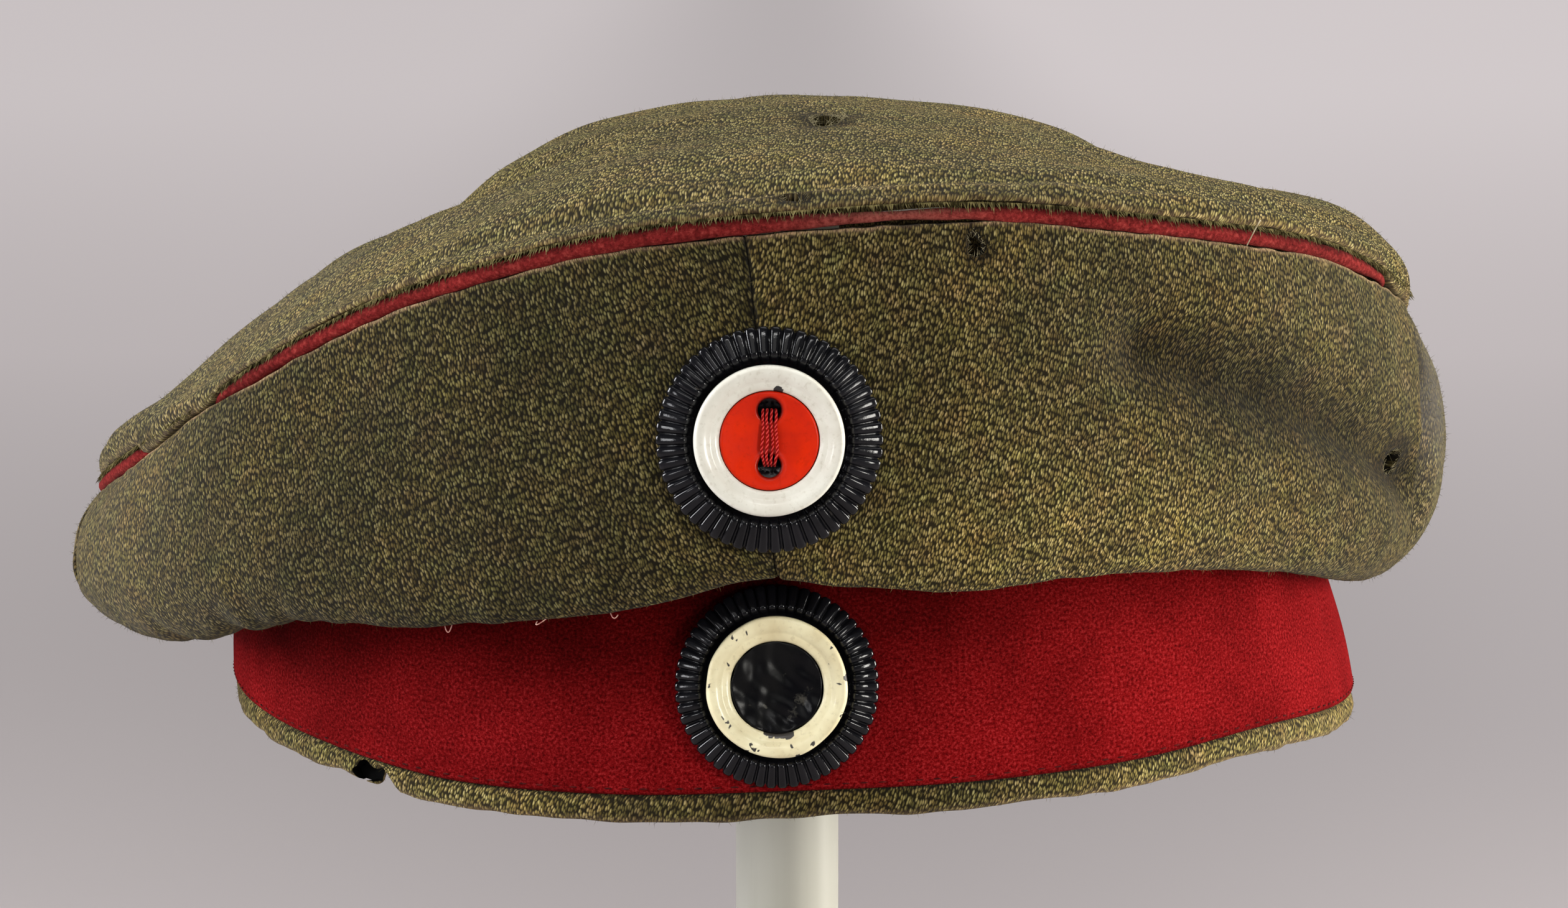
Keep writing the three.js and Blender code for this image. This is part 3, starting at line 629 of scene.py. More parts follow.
def open_holes(name, outside, inside, turn, along, ring, seed):
    """Gives the quads to keep and the grey around holes. The grids are drawn out to the ragged outlines."""
    inside_hole = np.zeros(turn.shape, dtype=bool)
    shade_and_grime = np.zeros(turn.shape)
    for number, (piece, hole_turn, hole_in, width, height) in enumerate(HOLES):
        if piece != name:
            continue
        rng = np.random.default_rng(seed + number)
        reach = np.hypot(outside[..., 0], outside[..., 1])
        du = np.radians(wrap(turn - hole_turn)) * reach / (width / 2)
        dv = (along - hole_in) / (height / 2)
        angle = np.arctan2(dv, du)
        ragged = np.ones(turn.shape)
        for lobes in HOLE_LOBES:
            ragged += LOBE_SIZE / lobes * np.sin(lobes * angle + rng.uniform(0, FULL_TURN))
        share = np.hypot(du, dv) / ragged
        inner = share < 1
        middle = np.unravel_index(np.argmin(np.hypot(du, dv)), turn.shape)
        for grid in (outside, inside):
            centre = grid[middle].copy()
            grid[inner] = centre + (grid[inner] - centre) / np.maximum(share[inner], 0.2)[:, None]
        inside_hole |= inner
        shade_and_grime = np.maximum(shade_and_grime, bump(np.maximum(share - 1, 0), GREYED_SHARE))
        rim = inner & (np.hypot(du, dv) > 0.3)
        hole_edges.append((outside[middle].copy(), outside[rim]))
    gone = quads_inside(inside_hole, ring)
    if gone.any():
        print(name, "has", int(gone.sum()), "quads left out for holes")
    return ~gone, shade_and_grime


print("hole outlines are ragged by seeded waves")

# %% Side wall's section
DROP_SHARE = 5 / 11
UNDER_SHARE = 3 / 11
LEG_SHARE = 1 - DROP_SHARE - UNDER_SHARE
EDGE_STEPS = np.array([0, 0.25, 0.55, 0.95, 1.5, 2.2])
ROW_STEP = 0.8
WAVE_REACH = 2.5


def spaced(length, start_edge=True, end_edge=True):
    """Shares from 0 to 1 about ROW_STEP apart, with finer steps at rolled edges."""
    first = EDGE_STEPS if start_edge else np.zeros(1)
    last = length - EDGE_STEPS[::-1] if end_edge else np.array([length])
    steps = max(2, round((last[0] - first[-1]) / ROW_STEP))
    middle = np.linspace(first[-1], last[0], steps + 1)
    return np.concatenate([first[:-1], middle, last[1:]]) / length


def wall_section(turn, down):
    """Distance and height of the side wall at a turn, and at a share of the way from piping to band."""
    band = band_radius(turn)
    rim, lean = section("rim", turn), section("lean", turn)
    pipe_r = band + section("pipeOut", turn)
    belly_r = band + section("bellyOut", turn)
    fold_r = band + section("foldOut", turn)
    pipe_z = section("pipe", turn) - piping_radius(turn) - CORD_GAP
    belly_z, fold_z = section("belly", turn), section("fold", turn)
    band_top = rim + BAND_HEIGHT
    seam_r = band - lean + SEAM_CLEARANCE
    hang = band_top - fold_z
    slope = BAND_CURVE * lean / BAND_HEIGHT
    t = np.clip(down / DROP_SHARE, 0, 1)
    drop_r = cubic(pipe_r, pipe_r + ROUND * (belly_r - pipe_r), belly_r, belly_r, t)
    shoulder_z = pipe_z - SHOULDER_DROP * (pipe_z - belly_z)
    drop_z = cubic(pipe_z, shoulder_z, belly_z + ROUND * (pipe_z - belly_z), belly_z, t)
    t = np.clip((down - DROP_SHARE) / UNDER_SHARE, 0, 1)
    under_r = cubic(belly_r, belly_r, fold_r + ROUND * (belly_r - fold_r), fold_r, t)
    under_z = cubic(belly_z, belly_z - ROUND * (belly_z - fold_z), fold_z, fold_z, t)
    t = np.clip((down - DROP_SHARE - UNDER_SHARE) / LEG_SHARE, 0, 1)
    turned_r = fold_r - ROUND * (fold_r - seam_r - slope * hang)
    leg_r = cubic(fold_r, turned_r, seam_r + ROUND * slope * hang + LEG_SLACK, seam_r, t)
    leg_z = cubic(fold_z, fold_z, band_top - ROUND * hang, band_top, t)
    on_drop = down <= DROP_SHARE
    on_under = down <= DROP_SHARE + UNDER_SHARE
    distance = np.where(on_drop, drop_r, np.where(on_under, under_r, leg_r))
    height = np.where(on_drop, drop_z, np.where(on_under, under_z, leg_z))
    return distance, height


def edge_wave(turn, along, seed):
    """How far a sewn edge wanders up and down along the piping."""
    way = spots(turn)
    return bump(along, WAVE_REACH) * (0.16 * ripple(way, 14, seed) + 0.09 * ripple(way, 4, seed + 1))


print("rows are", ROW_STEP, "mm apart")

# %% Side panels
DROP_LENGTH = 45
UNDER_LENGTH = 16
LEG_LENGTH = 19
PANEL_SLACK = 1.08
SIDE_SEAM = 72
SEAM_GAP = 0.06
SEAM_ROLL = 0.85
PIPED_ROLL = 0.35
FLAT_MARGIN = 6
FRONT_LIFT = 1.7
FRONT_LIFT_TURN = -3.5
SHARP_FOLD = 0.55
# piece, turn of the first seam at its top and bottom, turn of the last seam, material
PANELS = [
    ("crown_panel_front_right", (-3.3, 0.3), (72.5, SIDE_SEAM), WOOL_RIGHT),
    ("crown_panel_back_right", (72.5, SIDE_SEAM), (180, 180), WOOL_BACK),
    ("crown_panel_back_left", (180, 180), (282, 280), WOOL_BACK),
    ("crown_panel_front_left", (282, 280), (356.7, 360.3), WOOL_LEFT),
]


def panel_depth(turn, along, from_seam, from_fold, points, seed):
    """How deep folds, unevenness, gathers, puckers and rolled edges press a panel in."""
    inner_cloth = np.clip(np.minimum(along, from_seam) / FLAT_MARGIN, 0, 1)
    sharp = np.clip(fold_depth("wall", turn, along, SHARP_FOLD) / 3.2, 0, 1)
    depth = fold_depth("wall", turn, along) + 0.7 * sharp
    depth += inner_cloth * (0.30 * ripple(points, 40, seed) + 0.12 * ripple(points, 13, seed + 1))
    gathers = bump(from_fold + 2, 7) * (0.25 + 0.75 * near(turn, -58, 26))
    depth += 0.28 * gathers * ripple(spots(turn, along * 0.15), 5, seed + 2)
    puckers = np.exp(-from_seam / 3.5) * ripple(spots(0 * turn, along), 7, seed + 3)
    depth += 0.22 * puckers * np.clip(along / FLAT_MARGIN, 0, 1)
    return depth + edge_roll(along, PIPED_ROLL) + edge_roll(from_seam, SEAM_ROLL)


def panel_marks(turn, along, from_seam, from_fold, shade_and_grime, seed):
    """A panel's worn edges, painted shade and light, faded places and painted grey sheen at the left end."""
    wear = bump(along - 0.15, 0.35) * (0.7 + 0.5 * ripple(spots(turn, along * 0.15), 9, seed + 5))
    # Painted shade on the underside of the fold.
    turned_under = 0.55 * eased((from_fold + 1) / 3)
    left_end = bump(np.maximum(np.abs(wrap(turn) + 90) - 26, 0), 13)
    # Painted light on the lower right front and at the left end.
    painted_light = np.maximum(near(turn, 21, 22) * bump(along - 45, 13), 0.7 * left_end)
    at_side = np.abs(np.sin(np.radians(turn))) > 0.8
    # Painted shade in the seams, wider at the sides.
    seam_shade = np.where(at_side, 0.9, 0.5) * bump(from_seam, np.where(at_side, 1.3, 0.7))
    behind_seam = turn > SIDE_SEAM
    # Faded cloth behind the right seam; at the left end the same mark paints a grey sheen.
    faded = behind_seam * bump(turn - SIDE_SEAM, 14) * bump(along - 14, 11)
    # Painted shade in the open slit behind the right seam.
    open_seam = behind_seam * bump(turn - SIDE_SEAM, 4) * bump(along - 7, 7)
    seam_shade = np.maximum(seam_shade, 0.95 * open_seam)
    # Painted shade along the crease.
    crease_shade = 0.85 * fold_depth("crease_shade", turn, along)
    return {
        "wear": np.clip(wear, 0, 1), "faded": np.maximum(faded, 0.18 * left_end), "painted_light": painted_light,
        "shade_and_grime": np.clip(np.maximum(shade_and_grime, seam_shade) + crease_shade + turned_under, 0, 1),
    }


def side_panel(name, start, end, material, seed):
    down = np.concatenate([
        DROP_SHARE * spaced(DROP_LENGTH, True, False),
        DROP_SHARE + UNDER_SHARE * spaced(UNDER_LENGTH, False, False)[1:],
        DROP_SHARE + UNDER_SHARE + LEG_SHARE * spaced(LEG_LENGTH, False, False)[1:],
    ])
    length = (end[0] - start[0]) * PER_DEGREE * PANEL_SLACK
    share = spaced(length)
    clear = math.degrees(SEAM_GAP / HEAD_LENGTH)
    first = start[0] + (start[1] - start[0]) * down + clear
    last = end[0] + (end[1] - end[0]) * down - clear
    turn = first + (last - first) * share[:, None]
    distance, height = wall_section(turn, np.broadcast_to(down, turn.shape))
    along = along_cloth(distance, height)
    height = height + edge_wave(turn, along, 150)
    points = place(turn, distance, height)
    from_seam = np.minimum(share, 1 - share)[:, None] * length
    fold_row = np.argmin(np.abs(down - DROP_SHARE - UNDER_SHARE))
    from_fold = along - along[:, fold_row:fold_row + 1]
    height = height + FRONT_LIFT * near(turn, FRONT_LIFT_TURN, 6) * bump(from_fold, 8)
    depth = panel_depth(turn, along, from_seam, from_fold, points, seed)
    outside, within = skins(turn, distance, height, depth, 1)
    keep, shade_and_grime = open_holes(name, outside, within, turn, along, False, seed + 20)
    marks = panel_marks(turn, along, from_seam, from_fold, shade_and_grime, seed)
    uv = np.stack([share[:, None] * length + 0 * along, -along], axis=-1)
    return shell_piece(name + "_cloth", outside, within, uv, material, keep, False, True, marks)


panel_pieces = []
for number, (name, start, end, material) in enumerate(PANELS):
    panel = side_panel(name, start, end, material, 100 + 10 * number)
    weld(panel)
    panel_pieces.append(panel)
    finish_piece(panel, "wool", name)

# %% [markdown]
# ## The top
# The top is one round piece. It rises from the piping in a soft roll, sinks a little behind it and domes
# over the stand. A polar grid follows that rule, and its UV map is the flat disc of cloth that it was cut
# from, so the weave runs straight across and does not swirl round the pole.

# %% Crown top
ROLL_BULGE = 0.14
TOP_COLUMNS = 420
ROLL_ROWS_SHARE = 0.16
ROLL_LENGTH = 14
DOME_ROWS = 80
TOP_ROLL = 0.95
RIDGE_ALONG = 5.4
RIDGE_HEIGHT = 0.4
SWALLOWED_LAP = 0.3


def top_section(turn, inwards):
    """Distance and height of the top at a turn, and at a share of the way from piping to middle."""
    pipe_r = band_radius(turn) + section("pipeOut", turn)
    seam = piping_radius(turn) + GAP
    pipe_z = section("pipe", turn) + seam - swallowed(turn) * (2 * seam - SWALLOWED_LAP)
    roll_in = section("rollIn", turn)
    ridge_r = pipe_r - roll_in
    ridge_z = section("pipe", turn) + section("rollUp", turn)
    slope = 2 * (CROWN_PEAK - ridge_z) / ridge_r
    t = np.clip(inwards / ROLL_ROWS_SHARE, 0, 1)
    swell = pipe_r + ROLL_BULGE * (ridge_z - pipe_z)
    roll_r = cubic(pipe_r, swell, ridge_r + ROUND * roll_in, ridge_r, t)
    roll_z = cubic(pipe_z, pipe_z + ROUND * (ridge_z - pipe_z), ridge_z - ROUND * roll_in * slope, ridge_z, t)
    t = np.clip((inwards - ROLL_ROWS_SHARE) / (1 - ROLL_ROWS_SHARE), 0, 1)
    dome_r = ridge_r * (1 - t)
    dome_z = (1 - t) ** 2 * ridge_z + (1 - (1 - t) ** 2) * CROWN_PEAK
    on_roll = inwards <= ROLL_ROWS_SHARE
    return np.where(on_roll, roll_r, dome_r), np.where(on_roll, roll_z, dome_z)


def crown_top():
    inwards = np.concatenate([
        ROLL_ROWS_SHARE * spaced(ROLL_LENGTH, True, False),
        ROLL_ROWS_SHARE + (1 - ROLL_ROWS_SHARE) * np.linspace(0, 1, DOME_ROWS)[1:],
    ])
    turn = around(TOP_COLUMNS, inwards)
    distance, height = top_section(turn, np.broadcast_to(inwards, turn.shape))
    along = along_cloth(distance, height)
    height = height + edge_wave(turn, along, 160)
    points = place(turn, distance, height)
    inner_cloth = np.clip(along / FLAT_MARGIN, 0, 1) * np.clip(distance / 12, 0, 1)
    in_front = near(turn, 4, 26)
    depth = fold_depth("top", turn, along)
    depth += inner_cloth * (0.4 * ripple(points, 44, 201) + 0.14 * ripple(points, 12, 202))
    depth += 0.16 * ripple(spots(turn), 9, 203) * bump(along - 3, 3)
    depth += edge_roll(along, TOP_ROLL) - RIDGE_HEIGHT * in_front * bump(along - RIDGE_ALONG, 1.3)
    outside, within = skins(turn, distance, height, depth, -1)
    outside[:, -1] = place(0, 0, CROWN_PEAK)
    within[:, -1] = place(0, 0, CROWN_PEAK - CROWN_CLOTH)
    keep, shade_and_grime = open_holes("crown_top", outside, within, turn, along, True, 220)
    # Painted shade on the roll below the front ridge.
    below_ridge = in_front * (1 - eased((along - 3.8) / 1.8))
    marks = {
        "wear": np.maximum(0.3 * bump(along - 0.5, 0.8), 0.3 * in_front * bump(along - 5.6, 0.7)),
        "shade_and_grime": np.maximum(shade_and_grime, 0.45 * below_ridge),
        # Painted grey sheen over the left side of the top.
        "faded": 0.3 * near(turn, -75, 38) * eased((70 - along) / 30),
    }
    reach = along[:, -1:] - along
    angle = np.radians(turn)
    uv = np.stack([reach * np.sin(angle), -reach * np.cos(angle)], axis=-1)
    uv = np.concatenate([uv, uv[:1]])
    return shell_piece("crown_top_cloth", outside, within, uv, WOOL_TOP, keep, True, False, marks)


top_piece = crown_top()
weld(top_piece)
finish_piece(top_piece, "wool", "crown_top")

# %% [markdown]
# ## Red felt band
# The band is smooth red felt, with painted shade under the crown's overhang, across the front and left and
# at the hem. It leans in at the top, and its lower edge is turned over the hem. Felt has no weave to speak
# of: short fibres in every direction, and faint creases that run up and down, with painted shade in them.

# %% Felt material and band
FELT_RED = (0.195, 0.0036, 0.005)
FELT_FIBRES = ((0.36, (0.06, 0.0008, 0.0015)), (0.5, FELT_RED), (0.66, (0.38, 0.022, 0.024)))
FELT_TONES = ((0.3, (0.68, 0.6, 0.62)), (0.55, (1, 1, 1)), (0.75, (1.12, 1.2, 1.2)))
CREASE_SCALE = (1.6, 14, 1)
CREASE_SHADE_TINT = (0.5, 0.45, 0.45)
FELT_SHADE_TINT = (0.12, 0.08, 0.09)
BAND_COLUMNS = 480
BAND_LOW = HEM_HEIGHT - 0.2
BAND_ROLL = 0.75


def felt():
    material, tree = finish_material("red_felt", 1.0, 0.02, 0.02, (0.9, 0.2, 0.2))
    uv = cloth_spot(tree)
    fine = noise(tree, uv, 2.2, 5.0, 0.75)
    creases = noise(tree, stretched(tree, uv, CREASE_SCALE), 1.0, 3.0)
    colour = ramp(tree, fine, *FELT_FIBRES)
    colour = shade(tree, colour, ramp(tree, noise(tree, uv, 0.06, 3.0, 0.6), *FELT_TONES))
    # Painted shade along the faint creases.
    colour = shade(tree, colour, CREASE_SHADE_TINT, span(tree, creases, 0.55, 0.78, 0, 0.45))
    # Painted shade from the band's marks.
    colour = shade(tree, colour, FELT_SHADE_TINT, mark_value(tree, "shade_and_grime"))
    return painted(material, colour, math_node(tree, "MULTIPLY_ADD", creases, 0.7, fine), 0.16, 0.7)


def band_face(turn, height):
    return band_radius(turn) - section("lean", turn) * (height / BAND_HEIGHT) ** BAND_CURVE


def red_band():
    tall = BAND_HEIGHT - BAND_LOW
    rows = BAND_LOW + tall * spaced(tall, True, True)
    turn = around(BAND_COLUMNS, rows)
    rise = np.broadcast_to(rows, turn.shape)
    face = band_face(turn, rise)
    points = place(turn, face, rise)
    ends = np.clip(np.minimum(rise - BAND_LOW, BAND_HEIGHT - rise) / 5, 0, 1)
    depth = ends * (0.16 * ripple(points, 30, 301) + 0.07 * ripple(points * [1, 1, 0.3], 9, 302))
    depth = depth + edge_roll(rise - BAND_LOW, BAND_ROLL) + edge_roll(BAND_HEIGHT - rise, BAND_ROLL)
    height = section("rim", turn) + rise
    outside = place(turn, face - depth, height)
    within = place(turn, face - BAND_CLOTH, height)
    circle = FULL_TURN * (HEAD_WIDTH + HEAD_LENGTH) / 4
    length = np.linspace(0, circle, BAND_COLUMNS + 1)[:, None]
    uv = np.stack([length + 0 * rows, rows + 0 * length], axis=-1)
    # Painted shadow under the crown's overhang, rising towards the top and weaker at the right.
    under_crown = np.clip((rise - 11) / 22, 0, 1) * (1 - 0.85 * near(turn, 62, 30))
    # Painted shade at the left, under the crown's wide overhang.
    left_overhang_shade = 0.55 * near(turn, -50, 9) * np.clip((rise - 4) / 12, 0.4, 1)
    # Painted shade across the front and left of the band.
    front_shade = 0.37 * between(wrap(turn), -66, 12, 25, 27)
    dark = 0.67 * np.clip(under_crown + front_shade + left_overhang_shade, 0, 1)
    shadowed = near(turn, -5, 11) * eased((rise - 18) / 9)
    # Painted shade at the joint with the hem.
    lower_edge = 0.3 * bump(rise - HEM_HEIGHT, 0.6)
    marks = {"shade_and_grime": np.maximum(np.maximum(lower_edge, dark), shadowed)}
    return shell_piece("red_band_felt", outside, within, uv, felt(), None, True, False, marks)


finish_piece(red_band(), "red_wool", "red_band")

# %% [markdown]
# ## Headband and hem
# Behind the felt runs a grey-green headband. Its lower edge is rolled into a thick hem, torn at the left:
# a notch where the roll is gone, and a moth hole beside it. The roll is a closed outline carried round the
# head, the notch lifts the lower edge, and a ragged plug cuts the hole through.

# %% Headband
HEM_BACK = BAND_CLOTH + GAP
HEM_TOP = HEM_HEIGHT - GAP
# distance in from the band's face and height, round the roll and up the inside
HEM_OUTLINE = [
    (3.3, 0.55), (2.9, 0.2), (2.3, 0.02), (1.7, 0.0), (1.1, 0.18), (0.72, 0.55), (0.52, 1.1), (0.45, 1.8),
    (0.47, 2.5), (0.6, 3.1), (0.9, 3.6), (1.3, 3.85), (1.8, 3.9),
]
HEADBAND_ROWS = 12
HEM_RADIUS = 92
NOTCH_FROM = -39.9
NOTCH_TO = -36.9
NOTCH_LIFT = 3.1
# turn, height above the rim, width, height
HEM_HOLE = (-41.0, 1.8, 5.8, 3.0)


def hem_lift(turn):
    """How far the torn hem's lower edge is drawn up."""
    left = np.clip((turn - NOTCH_FROM) / 0.25, 0, 1)
    right = np.clip((NOTCH_TO - turn) / 1.9, 0, 1)
    return NOTCH_LIFT * left * right + 0.5 * bump(turn + 44.5, 2.2)


def headband():
    upper = [(HEM_BACK, up) for up in np.linspace(HEM_TOP, BAND_HEIGHT, HEADBAND_ROWS)[1:]]
    downwards = np.linspace(BAND_HEIGHT, HEM_OUTLINE[0][1], HEADBAND_ROWS)[:-1]
    lower = [(HEM_BACK + BAND_CLOTH, up) for up in downwards]
    outline = np.array(HEM_OUTLINE + upper + lower)
    turn = around(2 * BAND_COLUMNS, outline[:, 0])
    depth_in, rise = outline.T
    low = np.clip(1 - rise / HEM_TOP, 0, 1)
    points = place(turn, band_radius(turn), rise + 0 * turn)
    uneven = 0.06 * ripple(points, 6, 401) + 0.1 * ripple(points, 17, 402)
    lifted = rise + low * (hem_lift(turn) + 1.6 * uneven)
    distance = band_face(turn, np.maximum(lifted, 0)) - depth_in - uneven * (depth_in < HEM_BACK)
    grid = place(turn, distance, section("rim", turn) + lifted)
    columns, rows = turn.shape
    quads = grid_quads(columns, rows, True, True).reshape(-1, 4)
    piece = mesh_piece("headband_and_hem", grid.reshape(-1, 3), quads.tolist(), WOOL_HEM)
    steps = np.linalg.norm(np.diff(np.vstack([outline, outline[:1]]), axis=0), axis=1)
    v = np.concatenate([[0], np.cumsum(steps)])
    u = np.linspace(0, FULL_TURN * HEM_RADIUS, columns + 1)
    column, row = np.divmod(np.arange(columns * rows), rows)
    cells_u = np.stack([u[column], u[column + 1], u[column + 1], u[column]], -1)
    cells_v = np.stack([v[row], v[row], v[row + 1], v[row + 1]], -1)
    layer = piece.data.uv_layers.new(name="cloth")
    layer.data.foreach_set("uv", np.stack([cells_u, cells_v], -1).ravel())
    set_mark(piece.data, "outer", row < len(HEM_OUTLINE) - 2, "BOOLEAN", "FACE")
    sides = eased((np.abs(turn) - 12) / 18)
    marks = {
        "wear": 0.35 * bump(rise - 0.2, 0.5) + 0 * turn,
        # Painted shade at the joint with the band and across the front of the hem.
        "shade_and_grime": np.maximum(0.4 * bump(rise - HEM_TOP, 0.5), 0.35 * (1 - sides)),
        # Painted light on the sides of the hem.
        "painted_light": 0.4 * sides * eased((turn + 55) / 18),
    }
    for mark, values in marks.items():
        set_mark(piece.data, mark, values.ravel())
    return piece


print("hem is", HEM_TOP, "mm high, with a notch of", NOTCH_LIFT, "mm")

# %% Tear in the hem
PLUG_SIDES = 28
PLUG_REACH = (-2.6, 4.0)
NEAR_BLACK = (0.004, 0.004, 0.004, 1)
# The hole's walls are painted near black, as shade inside the hole.
HOLE_SHADE = painted(finish_material("hole_painted_shade", 1.0, 0.0)[0], NEAR_BLACK)


def ragged_plug(turn, up, width, height, seed):
    """A plug with a wavy outline, square to the band. The hole's walls take its near-black painted shade."""
    rng = np.random.default_rng(seed)
    angle = np.linspace(0, FULL_TURN, PLUG_SIDES, endpoint=False)
    swell = 1 + 0.12 * np.sin(3 * angle + rng.uniform(0, 6)) + 0.1 * np.sin(5 * angle + rng.uniform(0, 6))
    across = width / 2 * swell * np.cos(angle)
    rise = height / 2 * swell * np.sin(angle)
    right = np.array([math.cos(math.radians(turn)), math.sin(math.radians(turn)), 0])
    rings = []
    for reach in PLUG_REACH:
        centre = place(turn, band_radius(turn) + reach, section("rim", turn) + up)
        rings.append(centre + across[:, None] * right + rise[:, None] * np.array([0, 0, 1]))
    sides = PLUG_SIDES
    faces = [[k, (k + 1) % sides, (k + 1) % sides + sides, k + sides] for k in range(sides)]
    faces += [list(range(sides))[::-1], list(range(sides, 2 * sides))]
    return mesh_piece("plug", np.concatenate(rings), faces, HOLE_SHADE, False)


def cut_with(piece, cutter):
    modifier = piece.modifiers.new("cut", "BOOLEAN")
    modifier.operation = "DIFFERENCE"
    modifier.solver = "EXACT"
    modifier.material_mode = "TRANSFER"
    modifier.object = cutter
    settle(piece, modifier)
    bpy.data.objects.remove(cutter)


headband_piece = headband()
cut_with(headband_piece, ragged_plug(*HEM_HOLE, 410))
finish_piece(headband_piece, "wool", "headband")

# %% [markdown]
# ## Growing pieces with Geometry Nodes
# Fibres, stitches, flutes and cords repeat or follow a path. A node tree describes one of them and how it
# repeats, and its named inputs set the sizes. The tree runs once, its instances are realized, and the
# result is copied into a plain mesh, so the finished piece has no modifier left.

# %% Geometry Nodes helpers


def new_tree(name, **sockets):
    """A Geometry Nodes tree with a geometry input and one named input for each socket kind."""
    tree = bpy.data.node_groups.new(name, "GeometryNodeTree")
    tree.interface.new_socket("Geometry", in_out="INPUT", socket_type="NodeSocketGeometry")
    for label, kind in sockets.items():
        tree.interface.new_socket(label, in_out="INPUT", socket_type="NodeSocket" + kind)
    tree.interface.new_socket("Geometry", in_out="OUTPUT", socket_type="NodeSocketGeometry")
    return tree, add(tree, "NodeGroupInput", None, None)


def close_tree(tree, geometry, material):
    """Ends a tree with Realize Instances and Set Material."""
    solid = add(tree, "GeometryNodeRealizeInstances", {"Geometry": geometry})
    finished = add(tree, "GeometryNodeSetMaterial", {"Geometry": solid, "Material": material})
    add(tree, "NodeGroupOutput", {"Geometry": finished}, None)
    return tree


def grow(name, source_mesh, tree, smooth=True, **values):
    """Runs a tree on a mesh and gives the result as a plain mesh object."""
    piece = bpy.data.objects.new(name, source_mesh)
    scene.collection.objects.link(piece)
    modifier = piece.modifiers.new("grow", "NODES")
    modifier.node_group = tree
    for item in tree.interface.items_tree:
        if item.in_out == "INPUT" and item.name in values:
            modifier[item.identifier] = values[item.name]
    settle(piece, modifier)
    piece.data.name = name
    piece.data.polygons.foreach_set("use_smooth", [smooth] * len(piece.data.polygons))
    return piece


def path_mesh(points, closed=False, **marks):
    """A line of edges through points in millimetres, with values along it."""
    count = len(points)
    edges = [(k, k + 1) for k in range(count - 1)]
    if closed:
        edges.append((count - 1, 0))
    mesh = new_mesh("path", points, edges, [])
    for label, values in marks.items():
        values = np.asarray(values, dtype=float)
        set_mark(mesh, label, values.ravel(), "FLOAT_VECTOR" if values.ndim == 2 else "FLOAT")
    return mesh


def named(tree, name, kind):
    return add(tree, "GeometryNodeInputNamedAttribute", {"Name": name}, data_type=kind)


def path_curve(tree, inputs):
    return add(tree, "GeometryNodeMeshToCurve", {"Mesh": inputs["Geometry"]})


def path_points(tree, inputs):
    """Points every Spacing along the path."""
    along = {"Curve": path_curve(tree, inputs), "Length": inputs["Spacing"]}
    return add(tree, "GeometryNodeCurveToPoints", along, None, mode="LENGTH")


def copies_on(tree, points, instance, rotation, **more):
    inputs = {"Points": points, "Instance": instance, "Rotation": rotation, **more}
    return add(tree, "GeometryNodeInstanceOnPoints", inputs)


def random_vector(tree, seed):
    limits = {0: (-1, -1, -1), 1: (1, 1, 1), "Seed": seed}
    return add(tree, "FunctionNodeRandomValue", limits, data_type="FLOAT_VECTOR")


def random_length(tree, low, high, seed):
    """A scale that changes only the length of what it scales."""
    length = add(tree, "FunctionNodeRandomValue", {2: low, 3: high, "Seed": seed}, 1, data_type="FLOAT")
    return add(tree, "ShaderNodeCombineXYZ", {"X": 1.0, "Y": 1.0, "Z": length})


def aimed(tree, way):
    return add(tree, "FunctionNodeAlignRotationToVector", {"Vector": way}, axis="Z")


def fibre_spike(tree, length, width):
    """A closed three-sided spike, the shape of one short fibre."""
    inputs = {
        "Vertices": 3, "Side Segments": 1, "Fill Segments": 1,
        "Radius Top": 0.0, "Radius Bottom": width, "Depth": length,
    }
    return add(tree, "GeometryNodeMeshCone", inputs, "Mesh", fill_type="NGON")


print("Geometry Nodes helpers ready")

# %% [markdown]
# ## Piping
# The piping is a cord wrapped in thin red wool and caught in the top seam. It follows the seam all round,
# so a tree sweeps a circle along the seam's path, with the cord's thickness kept as a value on the path:
# slightly lumpy, and thin where the crown swallows it at both sides.

# %% Piping material
PIPING_FIBRES = ((0.3, (0.06, 0.005, 0.005)), (0.52, (0.19, 0.016, 0.016)), (0.75, (0.36, 0.06, 0.05)))
PIPING_TONES = ((0.3, (0.7, 0.66, 0.66)), (0.7, (1.2, 1.15, 1.1)))
PIPING_SHADE = (0.45, 0.35, 0.35)
RUBBED_PIPING = (0.26, 0.085, 0.065)


def piping_wool():
    material, tree = finish_material("piping_wool", 0.95, 0.05, 0.03, (0.9, 0.45, 0.4))
    spot = object_spot(tree)
    fine = noise(tree, spot, 1500.0, 4.0, 0.7)
    colour = ramp(tree, fine, *PIPING_FIBRES)
    colour = shade(tree, colour, ramp(tree, noise(tree, spot, 60.0, 3.0, 0.6), *PIPING_TONES))
    # Painted shade on the cord's upper side, where the fringe overhangs it.
    normal = add(tree, "ShaderNodeNewGeometry", None, "Normal")
    upwards = add(tree, "ShaderNodeSeparateXYZ", {"Vector": normal}, "Z")
    colour = shade(tree, colour, PIPING_SHADE, span(tree, upwards, -0.1, 0.7))
    rubbed = math_node(tree, "MULTIPLY", mark_value(tree, "faded"), span(tree, fine, 0.35, 0.6, 0.3, 0.9))
    return painted(material, cover(tree, colour, RUBBED_PIPING, rubbed), fine, 0.25, 0.8)


print("piping is", 2 * PIPING_RADIUS, "mm thick")

# %% Piping cord
PIPING_SUNK = 0.6
PIPING_POINTS = 720
SWALLOWED_DEPTH = 1.6


